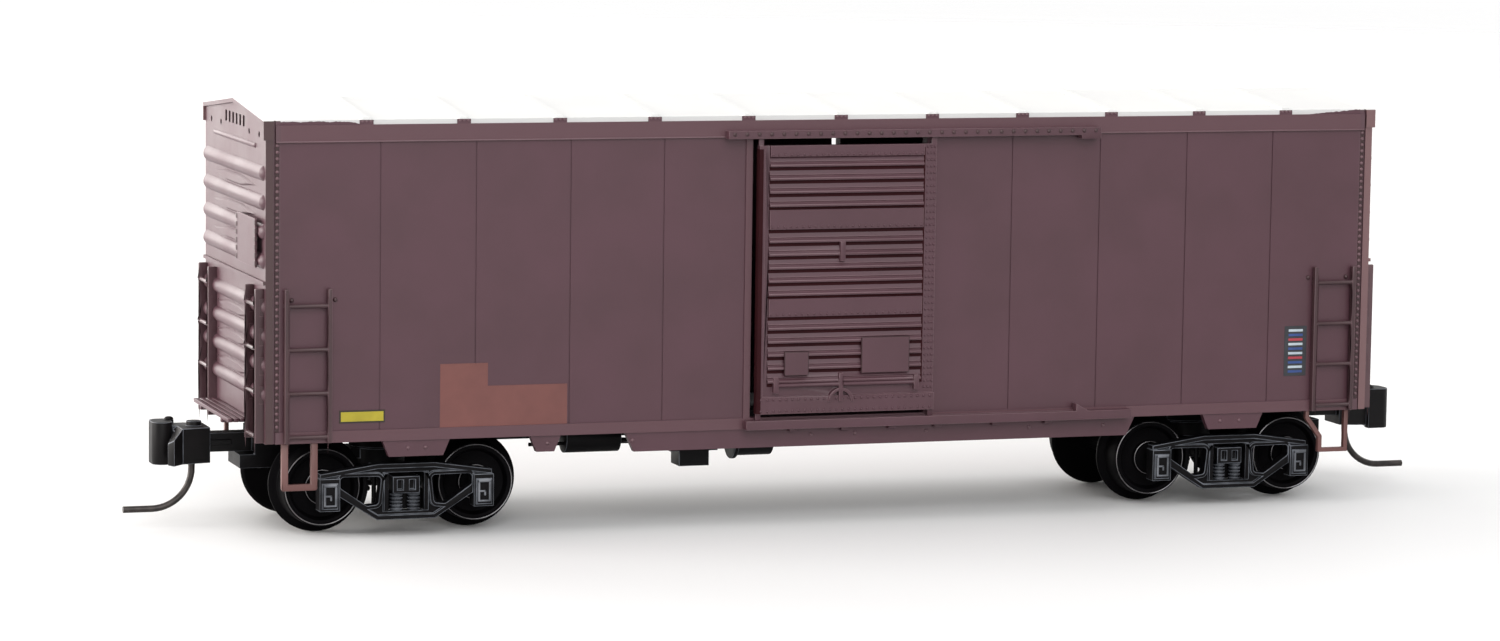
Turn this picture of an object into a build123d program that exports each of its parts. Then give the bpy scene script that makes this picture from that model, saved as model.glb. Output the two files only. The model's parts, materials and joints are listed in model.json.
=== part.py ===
from build123d import *
import os

# Plastic scale-model boxcar at 1:160, in millimetres.
# X runs along the car, -Y is the near side and Z is up. Heights are above the rail head:
# the finished pieces are raised by the flange depth, so that the flanges stand at Z = 0.

# Wheelsets
tread_radius = 2.62
flange_depth = 0.55
flange_width = 0.6
flange_edge = 0.2
wheel_width = 2.2
tread_cone = 0.05
rim_thick = 0.4
face_recess = 0.45
face_slope = 0.15
hub_thick = 0.3
back_to_back = 7.6
axle_radius = 0.7
stub_radius = 0.4
stub_reach = 0.4
stub_clearance = 0.08
stub_end_gap = 0.12

# Body shell
body_length = 77.64
body_width = 18.0
wheel_room = 0.41
wall_rise = 20.53
roof_rise = 0.89
sill_drop = 0.24
side_wall = 0.9
end_wall = 0.95
floor_wall = 0.9
roof_wall = 0.8
roof_edge = 0.3

# Roof ribs and the tabs that close them at the eaves
roof_rib_count = 11
roof_rib_margin = 6.57
roof_rib_width = 0.55
roof_rib_proud = 0.14
tab_width = 0.88
tab_deep = 0.45
tab_rise = 0.04

# Sides: bands, panel seams and the plates that hang below the sill
band_proud = 0.12
sill_band = 0.75
fascia_band = 1.38
post_width = 0.45
panel_count = 4
panel_first = 12.23
corner_panel = 7.5
seam_width = 0.1
seam_depth = 0.06
sill_plate = 0.5
deep_sill_drop = 1.26
deep_sill_taper = 0.6
deep_sill_long = 14.5
deep_sill_short = 7.65
bolster_tab_drop = 1.06
bolster_tab_taper = 0.45
bolster_tab_outer = 1.9
bolster_tab_inner = 2.6
bearer_tab_half = 1.05

# Door opening and doors
opening_half = 6.15
opening_drop = 1.47
door_left_gap = 0.25
door_lap = 0.45
door_top_gap = 0.46
door_bottom_lap = 0.1
door_gap = 0.25
door_plate = 0.35
door_edge = 0.42
door_travel = 10.2
door_rib_pitch = 0.88
door_rib_proud = 0.24
door_rib_recess = 0.2
door_rib_nose = 0.14
door_rib_crease = 0.08
door_rib_start = 0.75
door_rib_end = 0.95
door_foot = 1.15
lower_ribs = 1.86
lower_rib_rows = 5
middle_ribs = 7.65
middle_rib_rows = 5
upper_ribs = 13.55
upper_rib_rows = 4
door_top_band = 0.74
rod_rise = 1.9
rod_radius = 0.14
bracket_wide = 0.35
bracket_tall = 1.0
bracket_inset = 1.3
lever_wide = 0.28
lever_tall = 1.9
lever_place = -0.05
lever_rise = 0.75
ring_radius = 0.9
ring_wide = 0.2
latch_wide = 0.35
latch_tall = 1.3
latch_rise = 10.1
board_thick = 0.16
lug_width = 0.35
lug_thick = 0.18

# Door tracks
track_depth = 0.78
track_lip = 0.2
slot_clearance = 0.1
upper_track_tall = 0.53
upper_track_lead = 1.92
upper_slot_share = 0.6
lower_track_rise = 0.02
lower_track_tall = 0.6
lower_track_lead = 0.47
lower_track_tail = 4.07
lower_slot_share = 0.5
stop_length = 1.4
stop_drop = 0.25
gusset_long = 0.9
gusset_tall = 0.5

# Pressed ends
end_rib_pitch = 1.88
end_rib_half = 0.5
end_rib_proud = 0.3
end_rib_margin = 0.2
upper_rib_count = 4
upper_rib_drop = 3.4
lower_rib_count = 4
lower_rib_rise = 3.14
dart_margin = 2.7
lower_dart_margin = 3.6
dart_half = 0.36
dart_proud = 0.16
dart_waist = 0.35
dart_lean = 40
thin_rib_drop = 1.78
thin_rib_margin = 2.8
thin_rib_half = 0.17
thin_rib_proud = 0.12
sheet_seam_drop = 10.3
sheet_seam_tall = 0.22
gable_band = 0.3
gable_band_proud = 0.16
louvre_count = 6
louvre_pitch = 1.05
louvre_wide = 0.5
louvre_tall = 0.72
louvre_deep = 0.25
louvre_drop = 1.35
bolt_hole_radius = 0.2
bolt_hole_drop = 1.0
bolt_hole_places = [4.2, 7.1]
corner_cap_long = 0.5
corner_cap_tall = 1.25
corner_cap_proud = 0.12
corner_groove = 0.14
corner_groove_deep = 0.12
notch_half = 4.9
notch_tall = 0.7

# Ladders
ladder_inset = 2.71
ladder_half = 1.42
ladder_bar = 0.27
ladder_proud = 0.42
ladder_rise = 0.04
ladder_tall = 9.95
rung_count = 4
rung_first = 0.4
rung_pitch = 2.82
rung_radius = 0.14
end_ladder_inset = 1.95
end_ladder_half = 1.45
end_ladder_proud = 0.28
end_ladder_gap = 0.04

# Stirrup steps
step_inset = 2.27
step_half = 1.17
step_bar = 0.4
step_drop = 3.08
step_round = 0.18
kink_bar = 0.27
kink_outer = 1.25
kink_wide = 2.2
kink_drop = 2.9
kink_knee = 1.9
kink_shoulder = 0.55
kink_jog = 1.0

# Crossover platforms, end board and hand brake
platform_half = 5.3
platform_rise = 0.99
platform_thick = 0.25
platform_gap = 0.1
platform_slat = 0.28
platform_slats = 4
platform_space = 0.13
platform_bracket = 0.4
platform_bracket_place = 3.2
end_board_left = 1.1
end_board_wide = 5.3
end_board_drop = 6.33
end_board_tall = 3.15
brake_place = 2.6
brake_drop = 8.1
brake_radius = 1.55
brake_rim = 0.16
brake_hub = 0.4
brake_reach = 1.3
brake_spoke = 0.28
brake_spoke_thick = 0.2
housing_half = 0.9
housing_tall = 2.4
housing_deep = 0.7

# Underframe
sill_half = 1.4
sill_deep = 1.5
bearer_thick = 0.6
bearer_drop = 1.2
bearer_set = 9.05
bearer_step = 7.95
ballast_thick = 1.0
ballast_inset = 2.5
hanger_half = 0.5
cylinder_gap = 1.3
cylinder_long = 2.8
cylinder_out = 5.4
cylinder_drop = 1.35
cylinder_radius = 1.15
cylinder_flange = 0.2
cylinder_flange_thick = 0.3
tank_set = 3.3
tank_half = 1.9
tank_out = 3.6
tank_drop = 1.15
tank_radius = 1.05
valve_set = 2.95
valve_out = 6.0
valve_half = 0.9
valve_drop = 1.0

# Trucks
overhang = 9.62
wheelbase = 10.3
journal_inset = 0.85
journal_proud = 0.25
journal_half = 0.67
journal_below = 1.3
journal_above = 0.84
journal_lid = 0.12
frame_thick = 0.9
frame_flange = 0.3
frame_pocket = 0.22
chord_half = 1.9
chord_rise = 1.66
tip_reach = 0.6
tip_rise = 1.1
tip_fall = 0.02
diagonal_set = 0.4
diagonal_fall = 0.22
foot_half = 1.95
foot_fall = 2.0
window_start = 1.95
window_set = 1.0
window_round = 0.25
window_rim = 0.24
window_top = 0.6
window_tip_top = 0.62
window_tip_low = 0.3
window_knee = 0.6
window_knee_fall = 0.8
window_side = 0.15
window_side_fall = 0.75
bolster_half = 0.9
bolster_below = 0.3
bolster_above = 0.8
bolster_room = 0.3
bolster_head_room = 0.25
bolster_slot_half = 0.19
bolster_slot_place = 0.4
bolster_slot_margin = 0.22
bolster_slot_deep = 0.3
spring_fall = 1.47
spring_place = 0.58
spring_radius = 0.42
spring_core = 0.25
spring_coils = 5
plate_radius = 1.85
plate_above = 1.78
swivel_gap = 0.06
pin_radius = 0.8
pin_clearance = 0.08
pin_head_radius = 1.3
pin_head = 0.4

# Couplers
box_reach = 0.05
box_half = 1.75
box_wall = 0.35
box_drop = 0.27
box_tall = 2.53
box_mouth = 1.0
arm_half = 1.2
arm_thick = 0.65
pivot_set = 1.97
pivot_radius = 0.5
pivot_clearance = 0.08
eye_radius = 1.15
eye_room = 0.25
shank_half = 0.7
shank_tall = 1.23
shank_drop = 0.3
neck = 1.83
head_reach = 3.55
head_half = 1.2
head_shoulder = 1.6
head_tall = 2.35
head_fall = 0.65
head_face = 2.25
guard_tip = 2.45
guard_set = 0.6
guard_thick = 0.6
guard_slope = 1.0
guard_slope_drop = 0.9
knuckle_tall = 2.8
knuckle_fall = 0.85
knuckle_radius = 0.68
knuckle_hinge = 1.9
knuckle_nose = 0.5
knuckle_wide = 1.35
lug_set = 0.85
lug_radius = 0.5
lug_tall = 0.32
wire_radius = 0.22
wire_set = 1.0
wire_bend = 2.65
wire_clear = 0.45
wire_tail = 1.9

# Worked out from the sizes above
half_length = body_length / 2
half_width = body_width / 2
inner_length = half_length - end_wall
inner_width = half_width - side_wall
floor_height = 2 * tread_radius + flange_depth + wheel_room
sill_height = floor_height - sill_drop
eave_height = floor_height + wall_rise
peak_height = eave_height + roof_rise
wall_top = eave_height - roof_edge
fascia_height = eave_height - fascia_band
roof_rib_pitch = 2 * (half_length - roof_rib_margin) / (roof_rib_count - 1)
panel_pitch = (half_length - corner_panel - panel_first) / (panel_count - 1)
opening_bottom = floor_height + floor_wall
opening_top = eave_height - opening_drop
door_left = opening_half - door_left_gap
door_right = opening_half + door_lap
door_bottom = opening_bottom - door_bottom_lap
door_top = opening_top - door_top_gap
door_back = half_width + door_gap
door_face = door_back + door_plate
track_back = half_width + band_proud
track_front = track_back + track_depth
track_right = door_right + door_travel + slot_clearance
lower_track_height = sill_height + lower_track_rise
ladder_bottom = sill_height + ladder_rise
rung_heights = [ladder_bottom + rung_first + row * rung_pitch for row in range(rung_count)]
upper_ribs_end = [eave_height - upper_rib_drop - row * end_rib_pitch for row in range(upper_rib_count)]
lower_ribs_end = [sill_height + lower_rib_rise + row * end_rib_pitch for row in range(lower_rib_count)]
truck_centre = half_length - overhang
bearer_outer = truck_centre - bearer_set
bearer_inner = bearer_outer - bearer_step
axle_height = tread_radius
axle_place = wheelbase / 2
flange_radius = tread_radius + flange_depth
journal_face = half_width - journal_inset
frame_outer = journal_face - journal_proud
frame_inner = frame_outer - frame_thick
bolster_bottom = axle_height - bolster_below
bolster_top = axle_height + bolster_above
spring_bottom = axle_height - spring_fall
plate_height = axle_height + plate_above
box_front = half_length + box_reach
box_top = floor_height - box_drop
box_bottom = box_top - box_tall
coupler_pivot = box_front - pivot_set
box_back = coupler_pivot - eye_radius - box_wall - eye_room
shank_top = box_top - shank_drop
shank_bottom = shank_top - shank_tall
head_back = box_front + neck
head_bottom = shank_bottom - head_fall
head_top = head_bottom + head_tall
knuckle_bottom = shank_bottom - knuckle_fall
wire_height = wire_radius + wire_clear


def block(x0, x1, y0, y1, z0, z1):
    middle = Pos((x0 + x1) / 2, (y0 + y1) / 2, (z0 + z1) / 2)
    return middle * Box(x1 - x0, y1 - y0, z1 - z0)


def plate_x(points, x0, x1):
    # A flat plate: corners given as (y, z), thickness from x0 to x1.
    face = make_face(Polyline(*[(x0, y, z) for y, z in points], close=True))
    return extrude(face, amount=x1 - x0, dir=(1, 0, 0))


def plate_y(points, y0, y1, grow=0):
    # A flat plate: corners given as (x, z), thickness from y0 to y1, its edge moved out by grow.
    face = make_face(Polyline(*[(x, y0, z) for x, z in points], close=True))
    if grow:
        face = offset(face, amount=grow)
    return extrude(face, amount=y1 - y0, dir=(0, 1, 0))


def plate_z(points, z0, z1):
    # A flat plate: corners given as (x, y), thickness from z0 to z1.
    face = make_face(Polyline(*[(x, y, z0) for x, y in points], close=True))
    return extrude(face, amount=z1 - z0, dir=(0, 0, 1))


def rod_x(x0, x1, y, z, radius):
    return Pos((x0 + x1) / 2, y, z) * Rot(0, 90, 0) * Cylinder(radius, x1 - x0)


def rod_y(x, y0, y1, z, radius):
    return Pos(x, (y0 + y1) / 2, z) * Rot(90, 0, 0) * Cylinder(radius, y1 - y0)


def rod_z(x, y, z0, z1, radius):
    return Pos(x, y, (z0 + z1) / 2) * Cylinder(radius, z1 - z0)


def turned(shape):
    # The same piece on the other side or at the other end of the car.
    return Rot(0, 0, 180) * shape


def shift(shape, x):
    return Pos(x, 0, 0) * shape


def arc_radius(half, proud):
    # Radius of the arc that stands proud by that much over a chord of 2 * half.
    return (half * half + proud * proud) / (2 * proud)


def make_floor():
    top = floor_height + floor_wall
    return block(-inner_length, inner_length, -inner_width, inner_width, floor_height, top)


def make_side():
    # Near side: wall, door opening, raised bands, panel seams, door post and the plates below the sill.
    outer = -half_width
    proud = outer - band_proud
    sill_top = sill_height + sill_band
    wall = block(-inner_length, inner_length, outer, -inner_width, sill_height, wall_top)
    wall -= block(-opening_half, opening_half, outer, -inner_width, sill_top, opening_top)
    for side in (-1, 1):
        for number in range(panel_count):
            place = side * (panel_first + number * panel_pitch)
            left = place - seam_width / 2
            wall -= block(left, left + seam_width, outer, outer + seam_depth, sill_top, fascia_height)
    wall += block(-inner_length, inner_length, proud, outer, fascia_height, wall_top)
    wall += block(-inner_length, inner_length, proud, outer, sill_height, sill_top)
    wall += block(-opening_half - post_width, -opening_half, proud, outer, sill_top, fascia_height)
    # Plates below the sill: left end, right end, taper of each end, drop
    plates = [
        (deep_sill_long - truck_centre, truck_centre - deep_sill_short, deep_sill_taper, deep_sill_drop),
    ]
    tab = bearer_tab_half
    plates.append((-bearer_outer - tab, -bearer_outer + tab, bolster_tab_taper, bolster_tab_drop))
    for side in (-1, 1):
        ends = sorted([side * (truck_centre + bolster_tab_outer), side * (truck_centre - bolster_tab_inner)])
        plates.append((ends[0], ends[1], bolster_tab_taper, bolster_tab_drop))
    for left, right, taper, drop in plates:
        bottom = sill_height - drop
        corners = [(left, sill_height), (right, sill_height), (right - taper, bottom), (left + taper, bottom)]
        wall += plate_y(corners, outer, outer + sill_plate)
    return wall


def gable(drop):
    # Outline of the end sheet as (y, z), its top edge lowered by drop.
    return [
        (-half_width, sill_height),
        (half_width, sill_height),
        (half_width, eave_height - drop),
        (0, peak_height - drop),
        (-half_width, eave_height - drop),
    ]


def make_end():
    # Left end: gabled sheet, pressed ribs, band under the roof, louvres, bolt holes and a coupler notch.
    outer = -half_length
    inner = outer + end_wall
    band = outer - gable_band_proud
    sheet = plate_x(gable(0), outer, inner)
    sheet += plate_x(gable(0), band, outer) - plate_x(gable(gable_band), band, outer)
    seam = eave_height - sheet_seam_drop
    sheet += block(band, outer, -half_width, half_width, seam - sheet_seam_tall, seam)
    sheet -= block(band, inner, -notch_half, notch_half, sill_height, sill_height + notch_tall)
    for number in range(louvre_count):
        place = (number - (louvre_count - 1) / 2) * louvre_pitch
        middle = peak_height - louvre_drop
        sheet -= block(
            outer,
            outer + louvre_deep,
            place - louvre_wide / 2,
            place + louvre_wide / 2,
            middle - louvre_tall / 2,
            middle + louvre_tall / 2,
        )
    for side in (-1, 1):
        for place in bolt_hole_places:
            height = eave_height - bolt_hole_drop
            sheet -= rod_x(outer, outer + louvre_deep, side * place, height, bolt_hole_radius)
        edge = side * half_width
        cap = sorted([edge + side * corner_cap_proud, edge])
        bottom = eave_height - corner_cap_tall
        sheet += block(band, outer + corner_cap_long, cap[0], cap[1], bottom, eave_height)
        # Groove beside the corner, and the side's bands carried on up to it
        groove = outer + corner_cap_long
        cut = sorted([edge - side * corner_groove_deep, edge])
        sheet -= block(groove, groove + corner_groove, cut[0], cut[1], sill_height, eave_height)
        lap = sorted([edge + side * band_proud, edge])
        for low, high in [(sill_height, sill_height + sill_band), (fascia_height, wall_top)]:
            sheet += block(groove + corner_groove, inner, lap[0], lap[1], low, high)
    thin = eave_height - thin_rib_drop
    sheet += end_rib(thin, half_width - thin_rib_margin, thin_rib_half, thin_rib_proud)
    for height in upper_ribs_end + lower_ribs_end:
        sheet += end_rib(height, half_width - end_rib_margin, end_rib_half, end_rib_proud)
    for height in upper_ribs_end[:-1]:
        sheet += end_dart(height - end_rib_pitch / 2, half_width - dart_margin)
    for height in lower_ribs_end[:-1]:
        sheet += end_dart(height + end_rib_pitch / 2, half_width - lower_dart_margin)
    return sheet


def end_rib(height, reach, half, proud):
    # A pressed rib: a shallow bar of round section with round tips.
    radius = arc_radius(half, proud)
    axis = -half_length + radius - proud
    straight = reach - half
    rib = rod_y(axis, -straight, straight, height, radius)
    for y in (-straight, straight):
        rib += Pos(axis, y, height) * Sphere(radius)
    keep = block(-half_length - proud, -half_length, -reach, reach, height - radius, height + radius)
    return rib & keep


def end_dart(height, reach):
    # A pressed dart: a long lens of straight edges whose flanks lean in towards the top.
    waist = reach * dart_waist
    outline = [
        (-reach, height),
        (-waist, height - dart_half),
        (waist, height - dart_half),
        (reach, height),
        (waist, height + dart_half),
        (-waist, height + dart_half),
    ]
    face = make_face(Polyline(*[(-half_length, y, z) for y, z in outline], close=True))
    return extrude(face, amount=dart_proud, dir=(-1, 0, 0), taper=dart_lean)


def make_roof():
    # Shallow gable that seats on the side walls, with ribs across it and a tab at each end of a rib.
    section = [
        (-half_width, wall_top),
        (-half_width, eave_height),
        (0, peak_height),
        (half_width, eave_height),
        (half_width, wall_top),
        (inner_width, wall_top),
        (0, peak_height - roof_wall),
        (-inner_width, wall_top),
    ]
    roof = plate_x(section, -inner_length, inner_length)
    rise = roof_rib_proud
    cap = [
        (-half_width, eave_height),
        (-half_width, eave_height + rise),
        (0, peak_height + rise),
        (half_width, eave_height + rise),
        (half_width, eave_height),
        (0, peak_height),
    ]
    first = -(roof_rib_count - 1) / 2 * roof_rib_pitch
    for number in range(roof_rib_count):
        place = first + number * roof_rib_pitch
        roof += plate_x(cap, place - roof_rib_width / 2, place + roof_rib_width / 2)
        for side in (-1, 1):
            ends = sorted([side * (half_width + band_proud), side * (half_width - tab_deep)])
            left = place - tab_width / 2
            roof += block(left, left + tab_width, ends[0], ends[1], wall_top, eave_height + tab_rise)
    return roof


def track_slot(bottom, top):
    # The groove that the door lugs run in, over the whole travel.
    left = -door_left - slot_clearance
    right = door_right + door_travel + slot_clearance
    return block(left, right, -track_front + track_lip, -track_back - track_lip, bottom, top)


def make_upper_track():
    bottom = opening_top
    top = bottom + upper_track_tall
    right = track_right + stop_length
    track = block(-opening_half - upper_track_lead, right, -track_front, -track_back, bottom, top)
    track += block(track_right, right, -track_front, -track_back, bottom - stop_drop, bottom)
    return track - track_slot(bottom, bottom + upper_track_tall * upper_slot_share)


def make_lower_track():
    bottom = lower_track_height
    top = bottom + lower_track_tall
    right = track_right + lower_track_tail
    track = block(-opening_half - lower_track_lead, right, -track_front, -track_back, bottom, top)
    gusset = [(track_right, top), (track_right + gusset_long, top), (track_right, top + gusset_tall)]
    track += plate_y(gusset, -track_front, -track_back)
    return track - track_slot(top - lower_track_tall * lower_slot_share, top)


def door_rib(bottom, tall):
    # A pressed rib of the near door: its face leans out to a crease, then comes a nose over a recess.
    face = -door_face
    nose = face - door_rib_proud
    crease = bottom + door_rib_recess + 2 * door_rib_nose
    section = [
        (face, bottom + tall),
        (nose + door_rib_crease, crease + door_rib_crease),
        (nose + 2 * door_rib_crease, crease),
        (nose, bottom + door_rib_recess + door_rib_nose),
        (nose, bottom + door_rib_recess),
        (face, bottom + door_rib_recess),
    ]
    return plate_x(section, -door_left + door_rib_start, door_right - door_rib_end)


def make_door():
    # Near door: plate, raised edges and bands, ribs, latch gear and four lugs that run in the track slots.
    face = -door_face
    proud = face - door_rib_proud
    left = -door_left + door_rib_start
    right = door_right - door_rib_end
    door = block(-door_left, door_right, face, -door_back, door_bottom, door_top)
    door += block(-door_left, -door_left + door_edge, proud, face, door_bottom, door_top)
    door += block(left, right, proud, face, door_top - door_top_band, door_top)
    door += block(-door_left, door_right, proud, face, door_bottom, door_bottom + door_foot)
    # Groups of ribs: lowest edge above the door's bottom, number of ribs
    groups = [(lower_ribs, lower_rib_rows), (middle_ribs, middle_rib_rows), (upper_ribs, upper_rib_rows)]
    for rise, count in groups:
        for row in range(count):
            door += door_rib(door_bottom + rise + row * door_rib_pitch, door_rib_pitch)
    # Flat bands between the groups: lowest edge, highest edge
    bands = [
        (lower_ribs + lower_rib_rows * door_rib_pitch, middle_ribs),
        (middle_ribs + middle_rib_rows * door_rib_pitch, upper_ribs),
    ]
    for low, high in bands:
        door += block(left, right, proud, face, door_bottom + low + door_rib_recess, door_bottom + high)
    rod = door_bottom + rod_rise
    rod_left = -door_left + bracket_inset
    rod_right = door_right - bracket_inset
    door += rod_x(rod_left, rod_right, proud, rod, rod_radius)
    front = proud - rod_radius
    for place in (rod_left, rod_right):
        bottom = rod - bracket_tall / 2
        edge = place - bracket_wide / 2
        door += block(edge, edge + bracket_wide, front, face, bottom, bottom + bracket_tall)
    # Upright fittings: middle, width, lowest edge above the door's bottom, height
    uprights = [
        (lever_place, lever_wide, lever_rise, lever_tall),
        (lever_place, latch_wide, latch_rise, latch_tall),
    ]
    for middle, wide, rise, tall in uprights:
        bottom = door_bottom + rise
        door += block(middle - wide / 2, middle + wide / 2, front, face, bottom, bottom + tall)
    # Half ring behind the lever
    middle = door_bottom + lever_rise
    ring_left = lever_place - ring_radius
    ring = rod_y(lever_place, front, face, middle, ring_radius)
    ring -= rod_y(lever_place, front, face, middle, ring_radius - ring_wide)
    door += ring & block(ring_left, ring_left + 2 * ring_radius, front, face, middle, middle + ring_radius)
    lug_back = -track_back - track_lip - slot_clearance
    lug_front = lug_back - lug_thick
    upper_reach = opening_top + upper_track_tall * upper_slot_share - slot_clearance
    lower_reach = lower_track_height + lower_track_tall * (1 - lower_slot_share) + slot_clearance
    for start in (-door_left, door_right - lug_width):
        end = start + lug_width
        door += block(start, end, lug_front, lug_back, door_top - door_edge, upper_reach)
        door += block(start, end, lug_front, lug_back, lower_reach, door_bottom + door_edge)
    return door


# Boards on the door: distance from the door's left edge, width, height above its bottom, height
door_boards = [
    (1.85, 1.7, 2.55, 1.6),
    (7.25, 3.4, 2.6, 2.4),
]


def make_door_boards():
    face = -door_face - door_rib_proud
    solids = []
    for inset, wide, rise, tall in door_boards:
        left = -door_left + inset
        bottom = door_bottom + rise
        solids.append(block(left, left + wide, face - board_thick, face, bottom, bottom + tall))
    return Compound(solids)


def make_side_ladder(centre):
    outer = -half_width - band_proud
    front = outer - ladder_proud
    ladder = None
    for side in (-1, 1):
        left = centre + side * ladder_half - ladder_bar / 2
        bar = block(left, left + ladder_bar, front, outer, ladder_bottom, ladder_bottom + ladder_tall)
        ladder = bar if ladder is None else ladder + bar
    # The wall between the bands lies behind the stiles: each stands on it with two feet
    for side in (-1, 1):
        left = centre + side * ladder_half - ladder_bar / 2
        for height in (rung_heights[1], rung_heights[-1]):
            low = height - ladder_bar / 2
            ladder += block(left, left + ladder_bar, outer, -half_width, low, low + ladder_bar)
    for height in rung_heights:
        ladder += rod_x(centre - ladder_half, centre + ladder_half, front + rung_radius, height, rung_radius)
    return ladder


def make_end_ladder(centre):
    crest = -half_length - end_rib_proud
    front = crest - end_ladder_proud
    ladder = None
    for side in (-1, 1):
        low = centre + side * end_ladder_half - ladder_bar / 2
        bar = block(front, crest, low, low + ladder_bar, ladder_bottom, ladder_bottom + ladder_tall)
        ladder = bar if ladder is None else ladder + bar
    start = centre - end_ladder_half
    for height in rung_heights:
        ladder += rod_y(front + rung_radius, start, start + 2 * end_ladder_half, height, rung_radius)
    # Each stile stands on the sheet below, between and above the ribs that it passes
    room = end_rib_half + end_ladder_gap
    ladder_top = ladder_bottom + ladder_tall
    passed = [height for height in lower_ribs_end if height - room < ladder_top]
    lowest = [ladder_bottom] + [height + room for height in passed]
    highest = [height - room for height in passed] + [ladder_top]
    feet = [(bottom, top) for bottom, top in zip(lowest, highest) if bottom < top]
    for side in (-1, 1):
        low = centre + side * end_ladder_half - ladder_bar / 2
        for bottom, top in feet:
            ladder += block(crest, -half_length, low, low + ladder_bar, bottom, top)
    return ladder


def make_straight_step(centre):
    # Stirrup step under the side sill: a flat bar bent to a U.
    outer = -half_width
    back = outer + step_bar
    bottom = sill_height - step_drop
    step = block(centre - step_half, centre + step_half, outer, back, bottom, sill_height)
    inner = step_half - step_bar
    step -= block(centre - inner, centre + inner, outer, back, bottom + step_bar, sill_height)
    return fillet(step.edges().filter_by(Axis.Y).group_by(Axis.Z)[0], step_round)


def kinked_outline(inset):
    # Outline of the kinked step at the near right corner as (x, z), moved inwards by inset.
    right = half_length - kink_outer - inset
    left = half_length - kink_outer - kink_wide + inset
    low = sill_height - kink_drop + inset
    knee = sill_height - kink_knee + inset / 2
    shoulder = sill_height - kink_shoulder + inset / 2
    points = [(right, sill_height), (right, low), (left, low), (left, knee)]
    return points + [(left - kink_jog, shoulder), (left - kink_jog, sill_height)]


def make_kinked_step():
    # Stirrup step whose inner leg is cranked outwards above the tread.
    outer = -half_width
    step = plate_y(kinked_outline(0), outer, outer + step_bar)
    return step - plate_y(kinked_outline(kink_bar), outer, outer + step_bar)


def make_platform():
    # Slatted crossover platform at the left end, on two brackets.
    inner = -half_length - platform_gap
    pitch = platform_slat + platform_space
    bottom = sill_height + platform_rise
    top = bottom + platform_thick
    outer = inner - (platform_slats - 1) * pitch - platform_slat
    platform = None
    for row in range(platform_slats):
        edge = inner - row * pitch
        slat = block(edge - platform_slat, edge, -platform_half, platform_half, bottom, top)
        platform = slat if platform is None else platform + slat
    for side in (-1, 1):
        left = side * platform_bracket_place - platform_bracket / 2
        platform += block(outer, -half_length, left, left + platform_bracket, bottom - platform_thick, bottom)
    return platform


def make_end_board():
    face = -half_length - end_rib_proud
    top = eave_height - end_board_drop
    left = -half_width + end_board_left
    return block(face - board_thick, face, left, left + end_board_wide, top - end_board_tall, top)


def make_brake_wheel():
    # Hand brake on the right end: wheel, hub and the gear housing behind it.
    crest = half_length + end_rib_proud
    y = -brake_place
    z = eave_height - brake_drop
    rim = crest + brake_reach
    low = z - housing_tall / 2
    wheel = block(crest, crest + housing_deep, y - housing_half, y + housing_half, low, low + housing_tall)
    wheel += rod_x(crest + housing_deep, rim + brake_rim, y, z, brake_hub)
    wheel += Pos(rim, y, z) * Rot(0, 90, 0) * Torus(brake_radius, brake_rim)
    for turn in range(3):
        wheel += Pos(rim, y, z) * Rot(turn * 60, 0, 0) * Box(brake_spoke_thick, brake_spoke, 2 * brake_radius)
    return wheel


def make_centre_sill():
    reach = truck_centre - plate_radius
    return block(-reach, reach, -sill_half, sill_half, floor_height - sill_deep, floor_height)


def make_bearers():
    solids = []
    for place in (-bearer_outer, -bearer_inner, bearer_inner, bearer_outer):
        for side in (-1, 1):
            corners = [
                (side * sill_half, floor_height),
                (side * inner_width, floor_height),
                (side * inner_width, floor_height - bearer_drop / 2),
                (side * sill_half, floor_height - bearer_drop),
            ]
            solids.append(plate_x(corners, place - bearer_thick / 2, place + bearer_thick / 2))
    return Compound(solids)


def make_body_bolster():
    # Body bolster over the left truck: tapered arms and a round boss bored for the truck pin.
    boss_bottom = plate_height + swivel_gap
    arms = [
        (-inner_width, floor_height),
        (inner_width, floor_height),
        (inner_width, floor_height - bearer_drop / 4),
        (plate_radius, floor_height - bearer_drop / 2),
        (-plate_radius, floor_height - bearer_drop / 2),
        (-inner_width, floor_height - bearer_drop / 4),
    ]
    bolster = plate_x(arms, -truck_centre - bolster_half, -truck_centre + bolster_half)
    bolster += rod_z(-truck_centre, 0, boss_bottom, floor_height, plate_radius)
    return bolster - rod_z(-truck_centre, 0, boss_bottom, floor_height, pin_radius)


def make_truck_pin():
    head = bolster_bottom - swivel_gap
    pin = rod_z(-truck_centre, 0, head - pin_head, head, pin_head_radius)
    return pin + rod_z(-truck_centre, 0, head, floor_height, pin_radius)


def make_ballast():
    length = inner_length - ballast_inset
    width = inner_width - ballast_inset / 2
    bottom = floor_height + floor_wall
    return block(-length, length, -width, width, bottom, bottom + ballast_thick)


def hanger(x, y, bottom):
    return block(x - hanger_half, x + hanger_half, y - hanger_half, y + hanger_half, bottom, floor_height)


# Control valve, from the top block down: half length, height
valve_blocks = [
    (hanger_half, valve_drop),
    (1.65, 0.9),
    (1.05, 1.0),
]


def make_brake_cylinder():
    # Brake cylinder to the right of the control valve, with its flange towards the valve.
    axis = floor_height - cylinder_drop
    valve_reach = max(half for half, tall in valve_blocks)
    left = -bearer_inner + valve_set + valve_reach + cylinder_gap
    right = left + cylinder_long
    joint = left + cylinder_flange_thick
    body = rod_x(joint, right, -cylinder_out, axis, cylinder_radius)
    body += rod_x(left, joint, -cylinder_out, axis, cylinder_radius + cylinder_flange)
    return body + hanger((joint + right) / 2, -cylinder_out, axis)


def make_reservoir():
    axis = floor_height - tank_drop
    middle = -bearer_inner - tank_set
    tank = rod_x(middle - tank_half, middle + tank_half, -tank_out, axis, tank_radius)
    return tank + hanger(middle, -tank_out, axis)


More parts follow.
